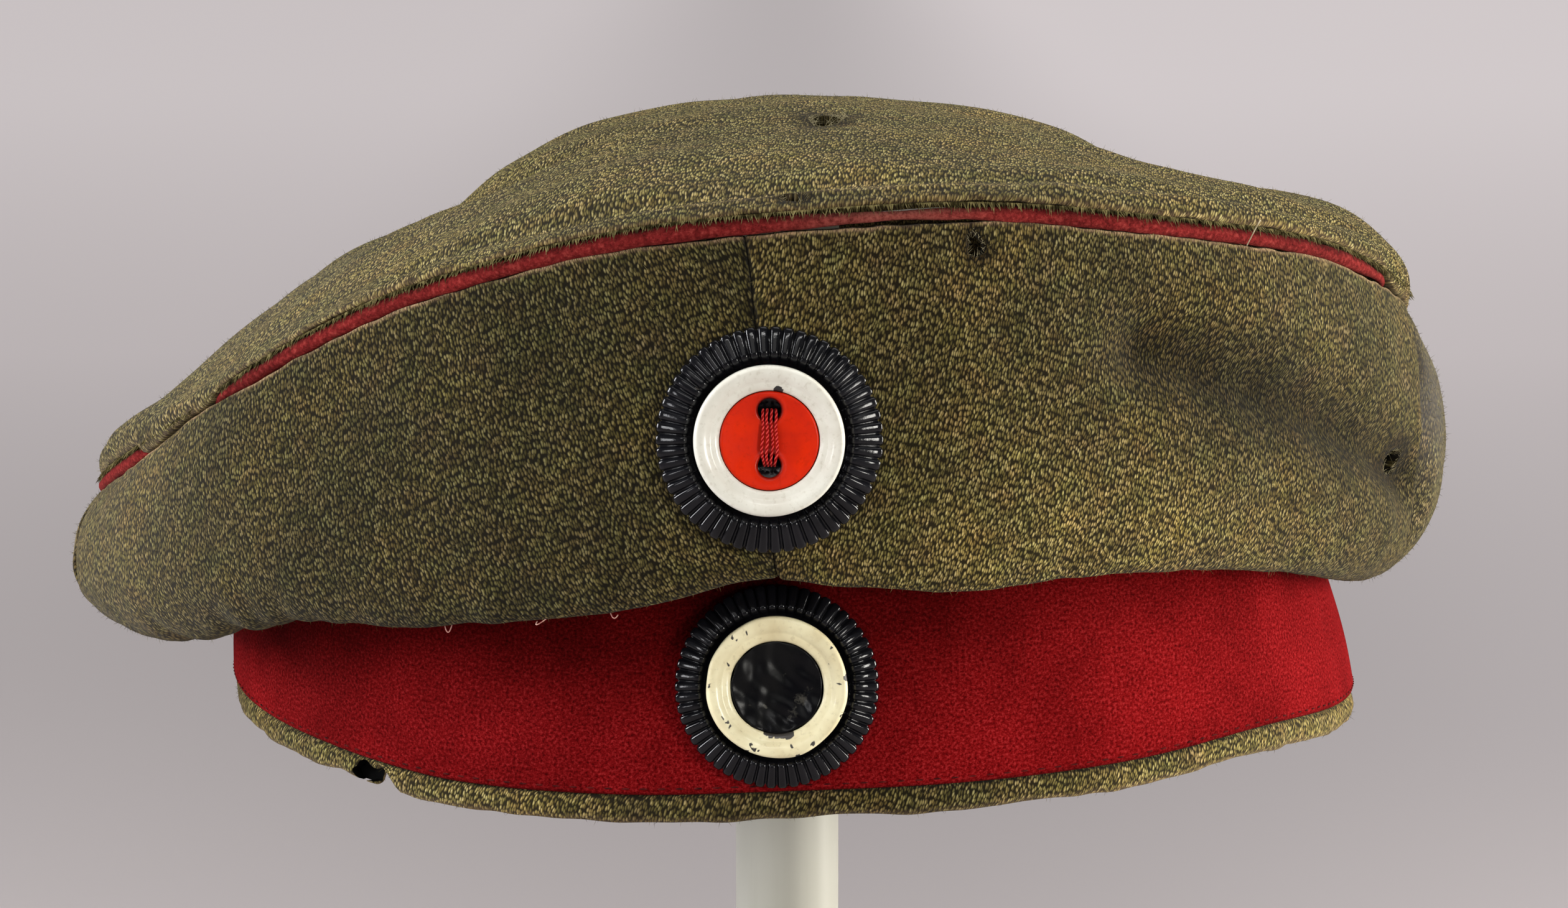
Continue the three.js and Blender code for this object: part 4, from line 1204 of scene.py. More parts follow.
def cord_tree():
    tree, inputs = new_tree("swept_cord", Sides="Int", Material="Material")
    circle = {"Resolution": inputs["Sides"], "Radius": 1.0}
    sweep = {
        "Curve": path_curve(tree, inputs), "Scale": named(tree, "thick", "FLOAT"), "Fill Caps": True,
        "Profile Curve": add(tree, "GeometryNodeCurvePrimitiveCircle", circle, "Curve"),
    }
    return close_tree(tree, add(tree, "GeometryNodeCurveToMesh", sweep), inputs["Material"])


CORD_TREE = cord_tree()
piping_turns = np.linspace(-180, 180, PIPING_POINTS, endpoint=False)
piping_middle = band_radius(piping_turns) + section("pipeOut", piping_turns)
piping_thick = piping_radius(piping_turns)
piping_in = PIPING_SUNK * piping_thick + SWALLOWED_DEPTH * swallowed(piping_turns)
piping_path = place(piping_turns, piping_middle - piping_in, section("pipe", piping_turns))
lumps = 1 + 0.06 * ripple(piping_path, 9, 501) + 0.03 * ripple(piping_path, 3, 502)
lumps += 0.12 * near(piping_turns, -10, 11) - 0.38 * near(piping_turns, 9, 6)
lumps *= 1 - 0.45 * eased((piping_turns - 53) / 9) * (piping_turns < 110)
piping_line = path_mesh(
    piping_path, True, thick=piping_thick * lumps * MM, faded=0.8 * near(piping_turns, 8, 6),
)
piping_piece = grow("piping_cord", piping_line, CORD_TREE, Sides=14, Material=piping_wool())
finish_piece(piping_piece, "piping_wool", "crown_piping")

# %% [markdown]
# ## Cockades
# Each cockade is pressed from thin sheet: a black skirt crimped into flutes, a pale ring that slopes in,
# and a dished centre. One flute is a flat-topped ridge that fades towards the ring. A tree turns copies of
# it round the middle and merges their edges, which is how the pressing repeats. Rings and centres are
# polar grids, so that dents, chips and sewing holes can be worked into them.

# %% Cockade sizes and places
FLUTES = 54
FLUTE_EDGE = 0.7
FLUTE_RISE = 1.6
RING_RISE = 2.0
RING_INNER_RISE = 1.3
CENTRE_FLOOR = 0.4
CENTRE_DISH = 0.7
RING_LOW = FLUTE_RISE + GAP
UPPER = {"name": "upper_cockade", "lean": 3.0, "radius": 15.6, "ring": 10.4, "centre": 6.8}
LOWER = {"name": "lower_cockade", "lean": 6.0, "radius": 14.3, "ring": 9.9, "centre": 6.4}


def cockade_frame(cockade):
    """The middle of a cockade's back in millimetres, with its right, up and outward directions."""
    low, high = [np.array(corner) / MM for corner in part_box(cockade["name"] + "_flutes")]
    lean = math.radians(cockade["lean"])
    radius = cockade["radius"]
    middle = np.array([
        (low[0] + high[0]) / 2,
        high[1] - radius * math.sin(lean),
        (low[2] + high[2] - FLUTE_EDGE * math.sin(lean)) / 2,
    ])
    up = np.array([0, math.sin(lean), math.cos(lean)])
    out = np.array([0, -math.cos(lean), math.sin(lean)])
    return middle, np.array([1.0, 0, 0]), up, out


def on_cockade(cockade, across, rise, out):
    """Points on a cockade from their places across, up and out of its back."""
    middle, right_way, up_way, out_way = cockade_frame(cockade)
    return middle + across[..., None] * right_way + rise[..., None] * up_way + out[..., None] * out_way


for cockade in (UPPER, LOWER):
    print(cockade["name"], "middle of back", cockade_frame(cockade)[0].round(2))

# %% Enamel materials
FINE_DIRT = (0.6, 0.56, 0.48)
ENAMEL_SHADE = (0.12, 0.05, 0.06)


def enamel(name, colour, dirt, roughness, chips, chip_colour, coat=0.4, specular=0.5):
    """Old stoved paint: slow yellowing, fine dirt and small chips down to the metal or primer."""
    material, tree = finish_material(name, roughness, specular, coat=coat)
    spot = object_spot(tree)
    slow = noise(tree, spot, 160.0, 3.0, 0.6)
    fine = noise(tree, spot, 1400.0, 3.0, 0.65)
    paint = ramp(tree, slow, (0.3, dirt), (0.62, colour))
    paint = shade(tree, paint, FINE_DIRT, span(tree, fine, 0.52, 0.72, 0, 0.35))
    paint = cover(tree, paint, chip_colour, span(tree, noise(tree, spot, 700.0), chips, chips + 0.03))
    ragged = math_node(tree, "MULTIPLY_ADD", fine, 0.9, mark_value(tree, "chipped"))
    paint = cover(tree, paint, chip_colour, span(tree, ragged, 0.8, 1.1))
    # Painted shade where a piece is marked: the thread's shadow and the holes' rims on the red centre.
    paint = shade(tree, paint, ENAMEL_SHADE, mark_value(tree, "shade_and_grime"))
    rough = span(tree, slow, 0.3, 0.7, 1.5 * roughness + 0.04, roughness)
    fill(tree, tree.nodes["Principled BSDF"].inputs["Roughness"], rough)
    return painted(material, paint, math_node(tree, "MULTIPLY_ADD", slow, 2.0, fine), 0.05, 0.35)


BLACK_ENAMEL = enamel(
    "black_enamel", (0.003, 0.003, 0.004), (0.006, 0.006, 0.008), 0.08, 0.76, (0.05, 0.045, 0.04), 0.0, 0.3,
)
WHITE_ENAMEL = enamel("white_enamel", (0.80, 0.79, 0.70), (0.66, 0.63, 0.54), 0.34, 0.78, (0.012, 0.01, 0.01))
CREAM_ENAMEL = enamel("cream_enamel", (0.88, 0.82, 0.54), (0.70, 0.60, 0.35), 0.4, 0.68, (0.03, 0.025, 0.02))
RED_ENAMEL = enamel(
    "red_enamel", (0.72, 0.022, 0.0), (0.56, 0.012, 0.0), 0.26, 0.8, (0.1, 0.01, 0.01), 0.04, 0.18,
)
# Its chip colour also paints grey glints on the black centre's crumples.
SCUFFED_BLACK = enamel(
    "scuffed_black", (0.002, 0.002, 0.003), (0.005, 0.005, 0.005), 0.2, 0.72, (0.06, 0.057, 0.048), 0.0, 0.13,
)
print("five enamels, two of them black")

# %% Fluted skirts
FLUTE_ACROSS = 9
FLUTE_SHARES = np.array([-0.3, 0, 0.12, 0.24, 0.36, 0.5, 0.64, 0.76, 0.86, 0.94, 0.985, 1.0])
FLUTE_START = 0.4
FLUTE_FLATNESS = 4.5
FLUTE_DEPTH = 0.75
SCALLOP = 0.6
SKIRT_FLOOR = 0.4
THINNEST = 0.12
MERGE_DISTANCE = 0.01


def flute_wedge(cockade):
    """One flute, from the middle to the edge, with its back. Its sides meet the next flute's."""
    ring = cockade["ring"]
    across = np.linspace(-1, 1, FLUTE_ACROSS)
    reach = np.concatenate([[FLUTE_START], ring + (cockade["radius"] - ring) * FLUTE_SHARES])[:, None]
    share = np.concatenate([[-1], FLUTE_SHARES])[:, None]
    ridge = 1 - np.abs(across) ** FLUTE_FLATNESS
    groove = eased((share - 0.02) / 0.2)
    tip = np.sqrt(1 - np.clip((share - 0.88) / 0.12, 0, 1) ** 2 * 0.97)
    top = SKIRT_FLOOR + groove * (1.55 - 1.4 * np.clip(share, 0, 1) ** 1.6 + 0.3 * tip)
    top = top - FLUTE_DEPTH * groove * (0.35 + 0.65 * tip) * (1 - ridge)
    reach = reach - SCALLOP * np.clip(share, 0, 1) ** 4 * (1 - ridge)
    angle = across * math.pi / FLUTES + 0 * share
    front = np.stack([reach * np.cos(angle), reach * np.sin(angle), np.maximum(top, THINNEST)], -1)
    back = front.copy()
    back[..., 2] = 0
    rows = len(share)
    size = rows * FLUTE_ACROSS
    index = np.arange(size).reshape(rows, FLUTE_ACROSS)
    quads = grid_quads(rows, FLUTE_ACROSS).reshape(-1, 4)
    faces = [quads, quads[:, ::-1] + size]
    for row in (index[0], index[-1, ::-1]):
        faces.append(np.stack([row[:-1], row[1:], row[1:] + size, row[:-1] + size], -1))
    return np.concatenate([front.reshape(-1, 3), back.reshape(-1, 3)]), np.concatenate(faces).tolist()


def turned_copies_tree():
    tree, inputs = new_tree("turned_copies", Copies="Int", Material="Material")
    dots = add(tree, "GeometryNodePoints", {"Count": inputs["Copies"]})
    share = math_node(tree, "DIVIDE", add(tree, "GeometryNodeInputIndex"), inputs["Copies"])
    angle = add(tree, "ShaderNodeCombineXYZ", {"Z": math_node(tree, "MULTIPLY", share, FULL_TURN)})
    turned = add(tree, "FunctionNodeEulerToRotation", {"Euler": angle})
    ring = copies_on(tree, dots, inputs["Geometry"], turned)
    whole = add(tree, "GeometryNodeRealizeInstances", {"Geometry": ring})
    merge = {"Geometry": whole, "Distance": MERGE_DISTANCE * MM}
    return close_tree(tree, add(tree, "GeometryNodeMergeByDistance", merge), inputs["Material"])


TURNED_TREE = turned_copies_tree()


def get_points(piece):
    """A mesh's corners in millimetres."""
    points = np.empty(3 * len(piece.data.vertices))
    piece.data.vertices.foreach_get("co", points)
    return points.reshape(-1, 3) / MM


def fluted_skirt(cockade, seed):
    points, faces = flute_wedge(cockade)
    wedge = new_mesh("flute", points, [], faces)
    piece = grow(cockade["name"] + "_skirt", wedge, TURNED_TREE, Copies=FLUTES, Material=BLACK_ENAMEL)
    local = get_points(piece)
    off = np.hypot(local[:, 0], local[:, 1])
    uneven = ripple(local, 6, seed) * np.clip((off - cockade["ring"]) / 4, 0, 1)
    local[:, 2] += 0.12 * uneven * (local[:, 2] > 0.01)
    piece.data.vertices.foreach_set("co", (on_cockade(cockade, *local.T) * MM).ravel())
    piece.data.update()
    finish_piece(piece, "black_enamel", cockade["name"] + "_flutes")


for number, cockade in enumerate((UPPER, LOWER)):
    fluted_skirt(cockade, 600 + number)

# %% Rings
ROUND_COLUMNS = 200
# places across and up from the cockade's middle, and radii
UPPER_CHIPS = [(1.2, 6.9, 0.65)]
LOWER_CHIPS = [
    (-1.5, -6.45, 0.4), (-0.8, -6.6, 0.5), (0.0, -6.65, 0.5), (0.8, -6.65, 0.55), (1.5, -6.6, 0.65),
    (1.9, -6.5, 0.55), (5.0, -7.8, 0.35), (7.6, 5.6, 0.25), (8.8, 0.5, 0.2), (-5.5, -6.1, 0.2),
    (-2.6, -8.8, 0.2), (2.9, -9.6, 0.35), (-4.2, 7.6, 0.2), (9.8, 1.4, 0.5),
]
# Grey marks on the black centre: real scuffs, and painted glints of its crumples.
SCUFFS_AND_GLINTS = [
    (3.4, -1.6, 1.5), (2.0, -3.8, 1.3), (4.4, -0.2, 0.9), (-3.6, -2.6, 0.7), (-3.0, 0.8, 0.6),
    (1.0, 1.8, 0.5),
]


def polar(offs, columns=ROUND_COLUMNS):
    """Places across and up of a polar grid, from its distances from the middle."""
    angle = np.linspace(0, FULL_TURN, columns, endpoint=False)[:, None]
    return offs * np.cos(angle), offs * np.sin(angle)


def turned_piece(name, grid, material, tube):
    """A piece from a polar grid of points."""
    quads = grid_quads(*grid.shape[:2], True, tube).reshape(-1, 4)
    piece = mesh_piece(name, grid.reshape(-1, 3), quads.tolist(), material)
    weld(piece)
    return piece


def dented_piece(name, cockade, profile, material, tube, amount, wavelength, seed):
    """A turned piece of a cockade from a profile of (distance, height) points, with soft dents."""
    profile = np.array(profile)
    across, rise = polar(profile[:, 0])
    out = profile[:, 1] + 0 * across
    dents = np.stack([across, rise, 0 * out], -1)
    swell = 1 + 0.5 * amount * ripple(dents, wavelength, seed + 1) / 8
    out = out + amount * ripple(dents, wavelength, seed) * (out > RING_LOW + 0.1)
    return turned_piece(name, on_cockade(cockade, across * swell, rise * swell, out), material, tube)


def ring_profile(cockade):
    inner = cockade["centre"] + GAP
    outer = cockade["ring"]
    top = RING_LOW + RING_RISE
    lip = RING_LOW + RING_INNER_RISE
    return [
        (inner, RING_LOW), (outer, RING_LOW), (outer, top - 0.9), (outer - 0.03, top - 0.45),
        (outer - 0.14, top - 0.2), (outer - 0.34, top - 0.05), (outer - 0.62, top), (outer - 1.1, top - 0.08),
        (outer - 1.9, top - 0.26), (inner + 1.1, lip + 0.16), (inner + 0.85, lip + 0.1),
        (inner + 0.62, lip + 0.05), (inner + 0.4, lip), (inner + 0.05, lip - 0.1), (inner - 0.18, lip - 0.3),
        (inner - 0.2, lip - 0.55),
    ]


def chip_paint(piece, cockade, chips, soft=0.15, most=1.0):
    """Marks paint chips with an edge of a given softness, bare up to a given most."""
    middle, right_way, up_way, _ = cockade_frame(cockade)
    local = get_points(piece) - middle
    across, rise = local @ right_way, local @ up_way
    bare = np.zeros(len(local))
    for x, z, radius in chips:
        off = np.hypot(across - x, rise - z)
        bare = np.maximum(bare, most * np.clip((radius - off) / soft + 0.5, 0, 1))
    set_mark(piece.data, "chipped", bare)


upper_ring = dented_piece(
    "upper_cockade_white_ring", UPPER, ring_profile(UPPER), WHITE_ENAMEL, True, 0.04, 9, 620,
)
chip_paint(upper_ring, UPPER, UPPER_CHIPS)
finish_piece(upper_ring, "white_enamel", "upper_cockade_ring")
lower_ring = dented_piece(
    "lower_cockade_cream_ring", LOWER, ring_profile(LOWER), CREAM_ENAMEL, True, 0.12, 6, 630,
)
chip_paint(lower_ring, LOWER, LOWER_CHIPS)
finish_piece(lower_ring, "cream_enamel", "lower_cockade_ring")

# %% Dished centres
SEWING_HOLE_RADIUS = 1.6
SEWING_HOLES = (4.2, -3.5)
DISH_ROWS = 34
SEWN_ROWS = 40


def centre_top(cockade, off):
    return RING_LOW + CENTRE_FLOOR + CENTRE_DISH * (off / cockade["centre"]) ** 2


def centre_profile(cockade):
    edge = cockade["centre"]
    rim = centre_top(cockade, edge)
    dish = [(off, centre_top(cockade, off)) for off in np.linspace(edge - 0.25, 0, DISH_ROWS)]
    return [(0, RING_LOW), (edge, RING_LOW), (edge, rim - 0.2), (edge - 0.08, rim - 0.06), *dish]


def sewn_centre():
    """The red centre: a dish with a pressed channel between two sewing holes."""
    edge = UPPER["centre"]
    offs = np.linspace(edge, 0, SEWN_ROWS)
    across, rise = polar(offs)
    out = centre_top(UPPER, np.hypot(across, rise)) - edge_roll(edge - offs, 0.3)
    out = out - 0.16 * bump(across, 1.7) * bump(rise, 3.4)
    side = np.where(rise > 0.3, *SEWING_HOLES)
    holes = np.hypot(across, rise - side)
    out = out + 0.12 * bump(holes - SEWING_HOLE_RADIUS - 0.4, 0.3)
    out = out - 0.25 * np.clip(SEWING_HOLE_RADIUS + 0.2 - holes, 0, 0.3) / 0.3
    in_hole = holes < SEWING_HOLE_RADIUS
    pull = np.where(in_hole, SEWING_HOLE_RADIUS / np.maximum(holes, 0.2), 1.0)
    # Painted shadow of the thread in the channel, and painted shade at the holes' rims.
    beside_hole = bump(np.maximum(holes - SEWING_HOLE_RADIUS, 0), 0.3)
    painted_shadow = np.maximum(beside_hole, 0.5 * bump(across, 1.5) * bump(rise, 3))
    across = across * pull
    rise = np.where(in_hole, side + (rise - side) * pull, rise)
    front = on_cockade(UPPER, across, rise, out)
    back = on_cockade(UPPER, across, rise, 0 * out + RING_LOW)
    uv = np.stack([across, rise], -1)
    uv = np.concatenate([uv, uv[:1]])
    marks = {"shade_and_grime": np.where(side > 0, 1.0, 0.8) * painted_shadow}
    keep = ~quads_inside(in_hole, True)
    return shell_piece("upper_cockade_red_dish", front, back, uv, RED_ENAMEL, keep, True, marks=marks)


upper_centre = sewn_centre()
weld(upper_centre)
finish_piece(upper_centre, "red_enamel", "upper_cockade_centre")
lower_centre = dented_piece(
    "lower_cockade_black_dish", LOWER, centre_profile(LOWER), SCUFFED_BLACK, False, 0.16, 2.8, 640,
)
# The grey marks are scuffs and painted glints.
chip_paint(lower_centre, LOWER, SCUFFS_AND_GLINTS, 1.6, 0.45)
finish_piece(lower_centre, "black_enamel", "lower_cockade_centre")

# %% [markdown]
# ## Sewing thread
# Faded red thread was passed several times through the two holes of the upper cockade. Each pass is its
# own strand, swept by the same cord tree along a path that dips into the holes.

# %% Thread strands
STRANDS = 4
STRAND_RADIUS = 0.2
STRAND_POINTS = 41
LANES_WIDTH = 2.1
PLY_SCALE = (0.0011, 1, 0.0011)
THREAD_REDS = ((0.1, (0.24, 0.001, 0.001)), (0.6, (0.46, 0.006, 0.005)), (1.0, (0.78, 0.085, 0.075)))


def thread_cotton():
    material, tree = finish_material("thread_cotton", 0.85, 0.1, 0.03, (1, 0.6, 0.6))
    plies = stretched(tree, object_spot(tree), PLY_SCALE, (0, math.radians(38), 0))
    waves = {"Vector": plies, "Scale": 0.9, "Distortion": 1.5, "Detail": 2.0}
    twist = add(tree, "ShaderNodeTexWave", waves, "Fac")
    return painted(material, ramp(tree, twist, *THREAD_REDS), twist, 0.08, 0.7)


def sewing_thread():
    rng = np.random.default_rng(650)
    points = []
    edges = []
    share = np.linspace(-1, 1, STRAND_POINTS)
    bow = 1 - share**2
    ends = np.where(share > 0, SEWING_HOLES[0], -SEWING_HOLES[1])
    rise = ends * np.sign(share) * np.abs(share) ** 0.85
    for strand in range(STRANDS):
        lane = (strand / (STRANDS - 1) - 0.5) * LANES_WIDTH
        over = centre_top(UPPER, 0) + 0.15 + 0.12 * (strand % 2)
        out = over + 0.3 * bow - 1.1 * np.abs(share) ** 9
        across = lane * (0.75 + 0.35 * rng.random() * bow) + 0.1 * np.sin(5 * share + strand)
        start = strand * STRAND_POINTS
        points.append(on_cockade(UPPER, across, rise, out))
        edges += [(start + k, start + k + 1) for k in range(STRAND_POINTS - 1)]
    mesh = new_mesh("strands", np.concatenate(points), edges, [])
    set_mark(mesh, "thick", [STRAND_RADIUS * MM] * len(mesh.vertices))
    return grow("upper_cockade_strands", mesh, CORD_TREE, Sides=8, Material=thread_cotton())


finish_piece(sewing_thread(), "thread", "upper_cockade_thread")

# %% [markdown]
# ## Nap and frayed edges
# Fulled wool is hairy: short fibres stand off the cloth, soften its outline and hang over the piping. One
# tree scatters spikes over a surface, leaning at random from its normal. Another sets them along a path
# with a chosen aim, for the fringe over the piping and the torn edges of the moth holes.

# %% Fibre material and trees


def fibre_wool(name, dark, pale):
    material, tree = finish_material(name, 0.95, 0.04, 0.03, (0.9, 0.8, 0.6))
    strand = noise(tree, object_spot(tree), 900.0, 1.0)
    return painted(material, ramp(tree, strand, (0.35, dark), (0.65, pale)))


NAP_WOOL = fibre_wool("nap_wool", (0.03, 0.025, 0.009), (0.22, 0.185, 0.075))
FRAY_WOOL = fibre_wool("fray_wool", (0.05, 0.042, 0.018), (0.34, 0.30, 0.18))


def over_surface(tree, inputs):
    """Points on the outer faces, with their normals."""
    field = {
        "Mesh": inputs["Geometry"], "Selection": named(tree, "outer", "BOOLEAN"),
        "Density": inputs["Density"], "Seed": inputs["Seed"],
    }
    dots = add(tree, "GeometryNodeDistributePointsOnFaces", field, None)
    return dots["Points"], dots["Normal"]


def along_path(tree, inputs):
    """Points along a path, with the aims that are kept on it."""
    return path_points(tree, inputs)["Points"], named(tree, "aim", "FLOAT_VECTOR")


def fibre_tree(name, measure, scatter, shortest, longest):
    """Spikes of mixed lengths on scattered points, each aimed with a random spread."""
    sockets = {measure: "Float", "Length": "Float", "Width": "Float", "Spread": "Float", "Seed": "Int"}
    tree, inputs = new_tree(name, **sockets, Material="Material")
    dots, aim = scatter(tree, inputs)
    spread = vector_math(tree, "SCALE", random_vector(tree, inputs["Seed"]))
    tree.links.new(inputs["Spread"], spread.node.inputs["Scale"])
    turned = aimed(tree, vector_math(tree, "ADD", aim, spread))
    spike = fibre_spike(tree, inputs["Length"], inputs["Width"])
    lengths = random_length(tree, shortest, longest, inputs["Seed"])
    return close_tree(tree, copies_on(tree, dots, spike, turned, Scale=lengths), inputs["Material"])


NAP_TREE = fibre_tree("nap_on_surface", "Density", over_surface, 0.4, 1.3)
FRINGE_TREE = fibre_tree("fringe_on_path", "Spacing", along_path, 0.45, 1.25)
print("fibre trees ready")

# %% Nap over the crown and hem
NAP_LENGTH = 0.8
NAP_RADIUS = 0.035
NAP_PER_SQUARE_MM = 0.25
TOP_NAP_SHARE = 0.5

for number, cloth in enumerate([*panel_pieces, top_piece, headband_piece]):
    share = TOP_NAP_SHARE if cloth is top_piece else 1.0
    nap = grow(
        cloth.name + "_nap", cloth.data.copy(), NAP_TREE, False,
        Density=share * NAP_PER_SQUARE_MM / MM**2, Length=NAP_LENGTH * MM, Width=NAP_RADIUS * MM, Spread=1.1,
        Seed=700 + number, Material=NAP_WOOL,
    )
    finish_piece(nap, "wool")

# %% Fringe over the piping and frayed holes
fringe_up = section("pipe", piping_turns) + piping_thick + GAP + 0.25
fringe_path = place(piping_turns, piping_middle - 0.1, fringe_up)
outward = place(piping_turns, 1.0, -RIM_HEIGHT)
fringe_line = path_mesh(fringe_path, True, aim=0.45 * outward + np.array([0, 0, -1.0]))
fringe = grow(
    "piping_fringe", fringe_line, FRINGE_TREE, False, Spacing=0.22 * MM, Length=1.5 * MM, Width=0.12 * MM,
    Spread=0.5, Seed=720, Material=NAP_WOOL,
)
finish_piece(fringe, "wool")

for number, (middle, rim) in enumerate(hole_edges):
    order = np.argsort(np.arctan2(rim[:, 2] - middle[2], rim[:, 0] - middle[0]))
    ring_points = rim[order]
    reach = np.linalg.norm(middle - ring_points, axis=1, keepdims=True)
    line = path_mesh(ring_points, True, aim=0.8 * (middle - ring_points) / reach)
    fray = grow(
        f"moth_hole_fray_{number + 1}", line, FRINGE_TREE, False, Spacing=0.35 * MM,
        Length=0.6 * reach.mean() * MM, Width=0.045 * MM, Spread=0.9, Seed=730 + number, Material=FRAY_WOOL,
    )
    finish_piece(fray, "wool")

# %% [markdown]
# ## Stitches and loose threads
# Small dark stitches hold the band's lower edge, and pale ones show where the right side seam is pulled.
# A tree sets one stitch every few millimetres along a path, turned to follow it. The few loose loops and
# hairs are single strands, each swept along a short curve of its own.

# %% Stitches
STITCH_RISE = HEM_HEIGHT + 0.75


def stitch_tree():
    sockets = {"Spacing": "Float", "Length": "Float", "Width": "Float"}
    tree, inputs = new_tree("stitches_on_path", **sockets, Material="Material")
    dots = path_points(tree, inputs)
    bead = add(tree, "GeometryNodeMeshUVSphere", {"Segments": 6, "Rings": 5, "Radius": 0.5}, "Mesh")
    sizes = {"X": inputs["Width"], "Y": inputs["Width"], "Z": inputs["Length"]}
    size = add(tree, "ShaderNodeCombineXYZ", sizes)
    stitches = copies_on(tree, dots["Points"], bead, aimed(tree, dots["Tangent"]), Scale=size)
    return close_tree(tree, stitches, inputs["Material"])


STITCH_TREE = stitch_tree()
BAND_THREAD = fibre_wool("band_thread", (0.03, 0.002, 0.003), (0.10, 0.008, 0.008))
PALE_THREAD = fibre_wool("pale_thread", (0.30, 0.25, 0.15), (0.55, 0.48, 0.34))
PINK_THREAD = fibre_wool("pink_thread", (0.42, 0.16, 0.14), (0.62, 0.36, 0.30))

stitch_out = band_face(piping_turns, STITCH_RISE) + 0.02
stitch_line = place(piping_turns, stitch_out, section("rim", piping_turns) + STITCH_RISE)
band_stitches = grow(
    "band_stitches", path_mesh(stitch_line, True), STITCH_TREE,
    Spacing=2.6 * MM, Length=1.2 * MM, Width=0.26 * MM, Material=BAND_THREAD,
)
finish_piece(band_stitches, "red_wool")

seam_down = np.linspace(0.05, 0.36, 40)
seam_turn = SIDE_SEAM + 0.35 + 0 * seam_down
seam_distance, seam_height = wall_section(seam_turn, seam_down)
seam_along = along_cloth(seam_distance[None], seam_height[None])[0]
seam_depth = fold_depth("wall", seam_turn, seam_along + 2) + 0.8
seam_line = place(seam_turn, seam_distance - seam_depth, seam_height)
seam_stitches = grow(
    "side_seam_stitches", path_mesh(seam_line), STITCH_TREE,
    Spacing=2.1 * MM, Length=0.9 * MM, Width=0.4 * MM, Material=PALE_THREAD,
)
finish_piece(seam_stitches, "thread")

# %% Loose threads
LOOSE_RADIUS = 0.08
LOOSE_POINTS = 17
LOOSE_BOW = 0.9
# name, turn, height above the rim, distance out of the band, width, rise, bend, swing to the side, thread
LOOSE_THREADS = [
    ("fold_loop", -27.6, 27.2, 7.4, 1.3, 0.0, -1.1, 0.5, PINK_THREAD),
    ("fold_fuzz_1", -19.4, 28.6, 7.2, 1.3, 0.2, -0.5, -0.3, PINK_THREAD),
    ("fold_fuzz_2", -13.6, 29.9, 6.4, 1.1, -0.2, -0.5, 0.2, PINK_THREAD),
    ("piping_hair", 39.6, 81.3, 8.2, 2.6, 1.7, 0.7, -0.5, PALE_THREAD),
]


def loose_thread(name, turn, height, out, width, rise, bend, swing, material):
    """A strand that leaves the cloth, makes one bend and comes back to it."""
    t = np.linspace(-1, 1, LOOSE_POINTS)
    bow = 1 - t**2
    distance = band_radius(turn) + out
    turns = turn + np.degrees((width / 2 * t + swing * bow) / distance)
    path = place(turns, distance + LOOSE_BOW * bow, height + rise * t + bend * bow)
    thick = np.full(LOOSE_POINTS, LOOSE_RADIUS * MM)
    strand = grow(name, path_mesh(path, thick=thick), CORD_TREE, Sides=6, Material=material)
    finish_piece(strand, "thread")


for row in LOOSE_THREADS:
    loose_thread(*row)

# %% [markdown]
# ## The stand
# The cap rests on a plain turned and painted post with a round foot. Each piece is a profile spun round
# the post's axis, with small rounds on its edges to catch the light.

# %% Stand
STAND_COLUMNS = 96
POST_ROWS = 24
REST_ROWS = 14
REST_EDGE = 9.0
REST_ROUND = 3.0
FOOT_ROUND = 4.0
FOOT_UNDER_ROUND = 1.0
STAND_TONES = ((0.3, (0.45, 0.445, 0.38)), (0.65, (0.49, 0.485, 0.43)))
BRUSH_SCALE = (0.0018, 0.0018, 0.05)
BRUSH_TINT = (0.8, 0.78, 0.72)


def stand_paint():
    material, tree = finish_material("stand_paint", 0.42, 0.4)
    spot = object_spot(tree)
    brush = noise(tree, stretched(tree, spot, BRUSH_SCALE), 1.0, 3.0)
    colour = ramp(tree, noise(tree, spot, 26.0, 3.0, 0.6), *STAND_TONES)
    colour = shade(tree, colour, BRUSH_TINT, span(tree, brush, 0.5, 0.8, 0, 0.25))
    return painted(material, colour, brush, 0.06, 0.4)


STAND_PAINT = stand_paint()


def spun(name, profile, node):
    profile = np.array(profile, dtype=float)
    across, back = polar(profile[:, 0], STAND_COLUMNS)
    grid = np.stack([across, back, profile[:, 1] + 0 * across], -1)
    finish_piece(turned_piece(name, grid, STAND_PAINT, False), "stand_paint", node)


def quarter(radius, height, size, way, steps=7):
    """A rounded outer corner. way is 1 where the profile turns in at the top, and -1 at the bottom."""
    angle = np.linspace(0, math.pi / 2, steps)[::way]
    return [
        (radius - size + size * math.cos(a), height - way * size + way * size * math.sin(a)) for a in angle
    ]


_, foot_high = [np.array(c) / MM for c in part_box("stand_foot")]
post_low, post_high = [np.array(c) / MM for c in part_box("stand_post")]
rest_low, rest_high = [np.array(c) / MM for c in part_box("stand_rest")]
foot = [(0, 0), *quarter(foot_high[0], 0, FOOT_UNDER_ROUND, -1, 4)]
foot += [*quarter(foot_high[0], foot_high[2], FOOT_ROUND, 1), (0, foot_high[2])]
spun("stand_foot_turned", foot, "stand_foot")
post = [(post_high[0], z) for z in np.linspace(post_low[2], post_high[2], POST_ROWS)]
spun("stand_post_turned", [(0, post_low[2]), *post, (0, post_high[2])], "stand_post")
rest_drop = rest_high[2] - rest_low[2] - REST_EDGE
rest = [(0, rest_low[2]), *quarter(rest_high[0], rest_low[2], REST_ROUND, -1)]
rest += [(s * rest_high[0], rest_high[2] - rest_drop * s**2) for s in np.linspace(1, 0, REST_ROWS)]
spun("stand_rest_turned", rest, "stand_rest")

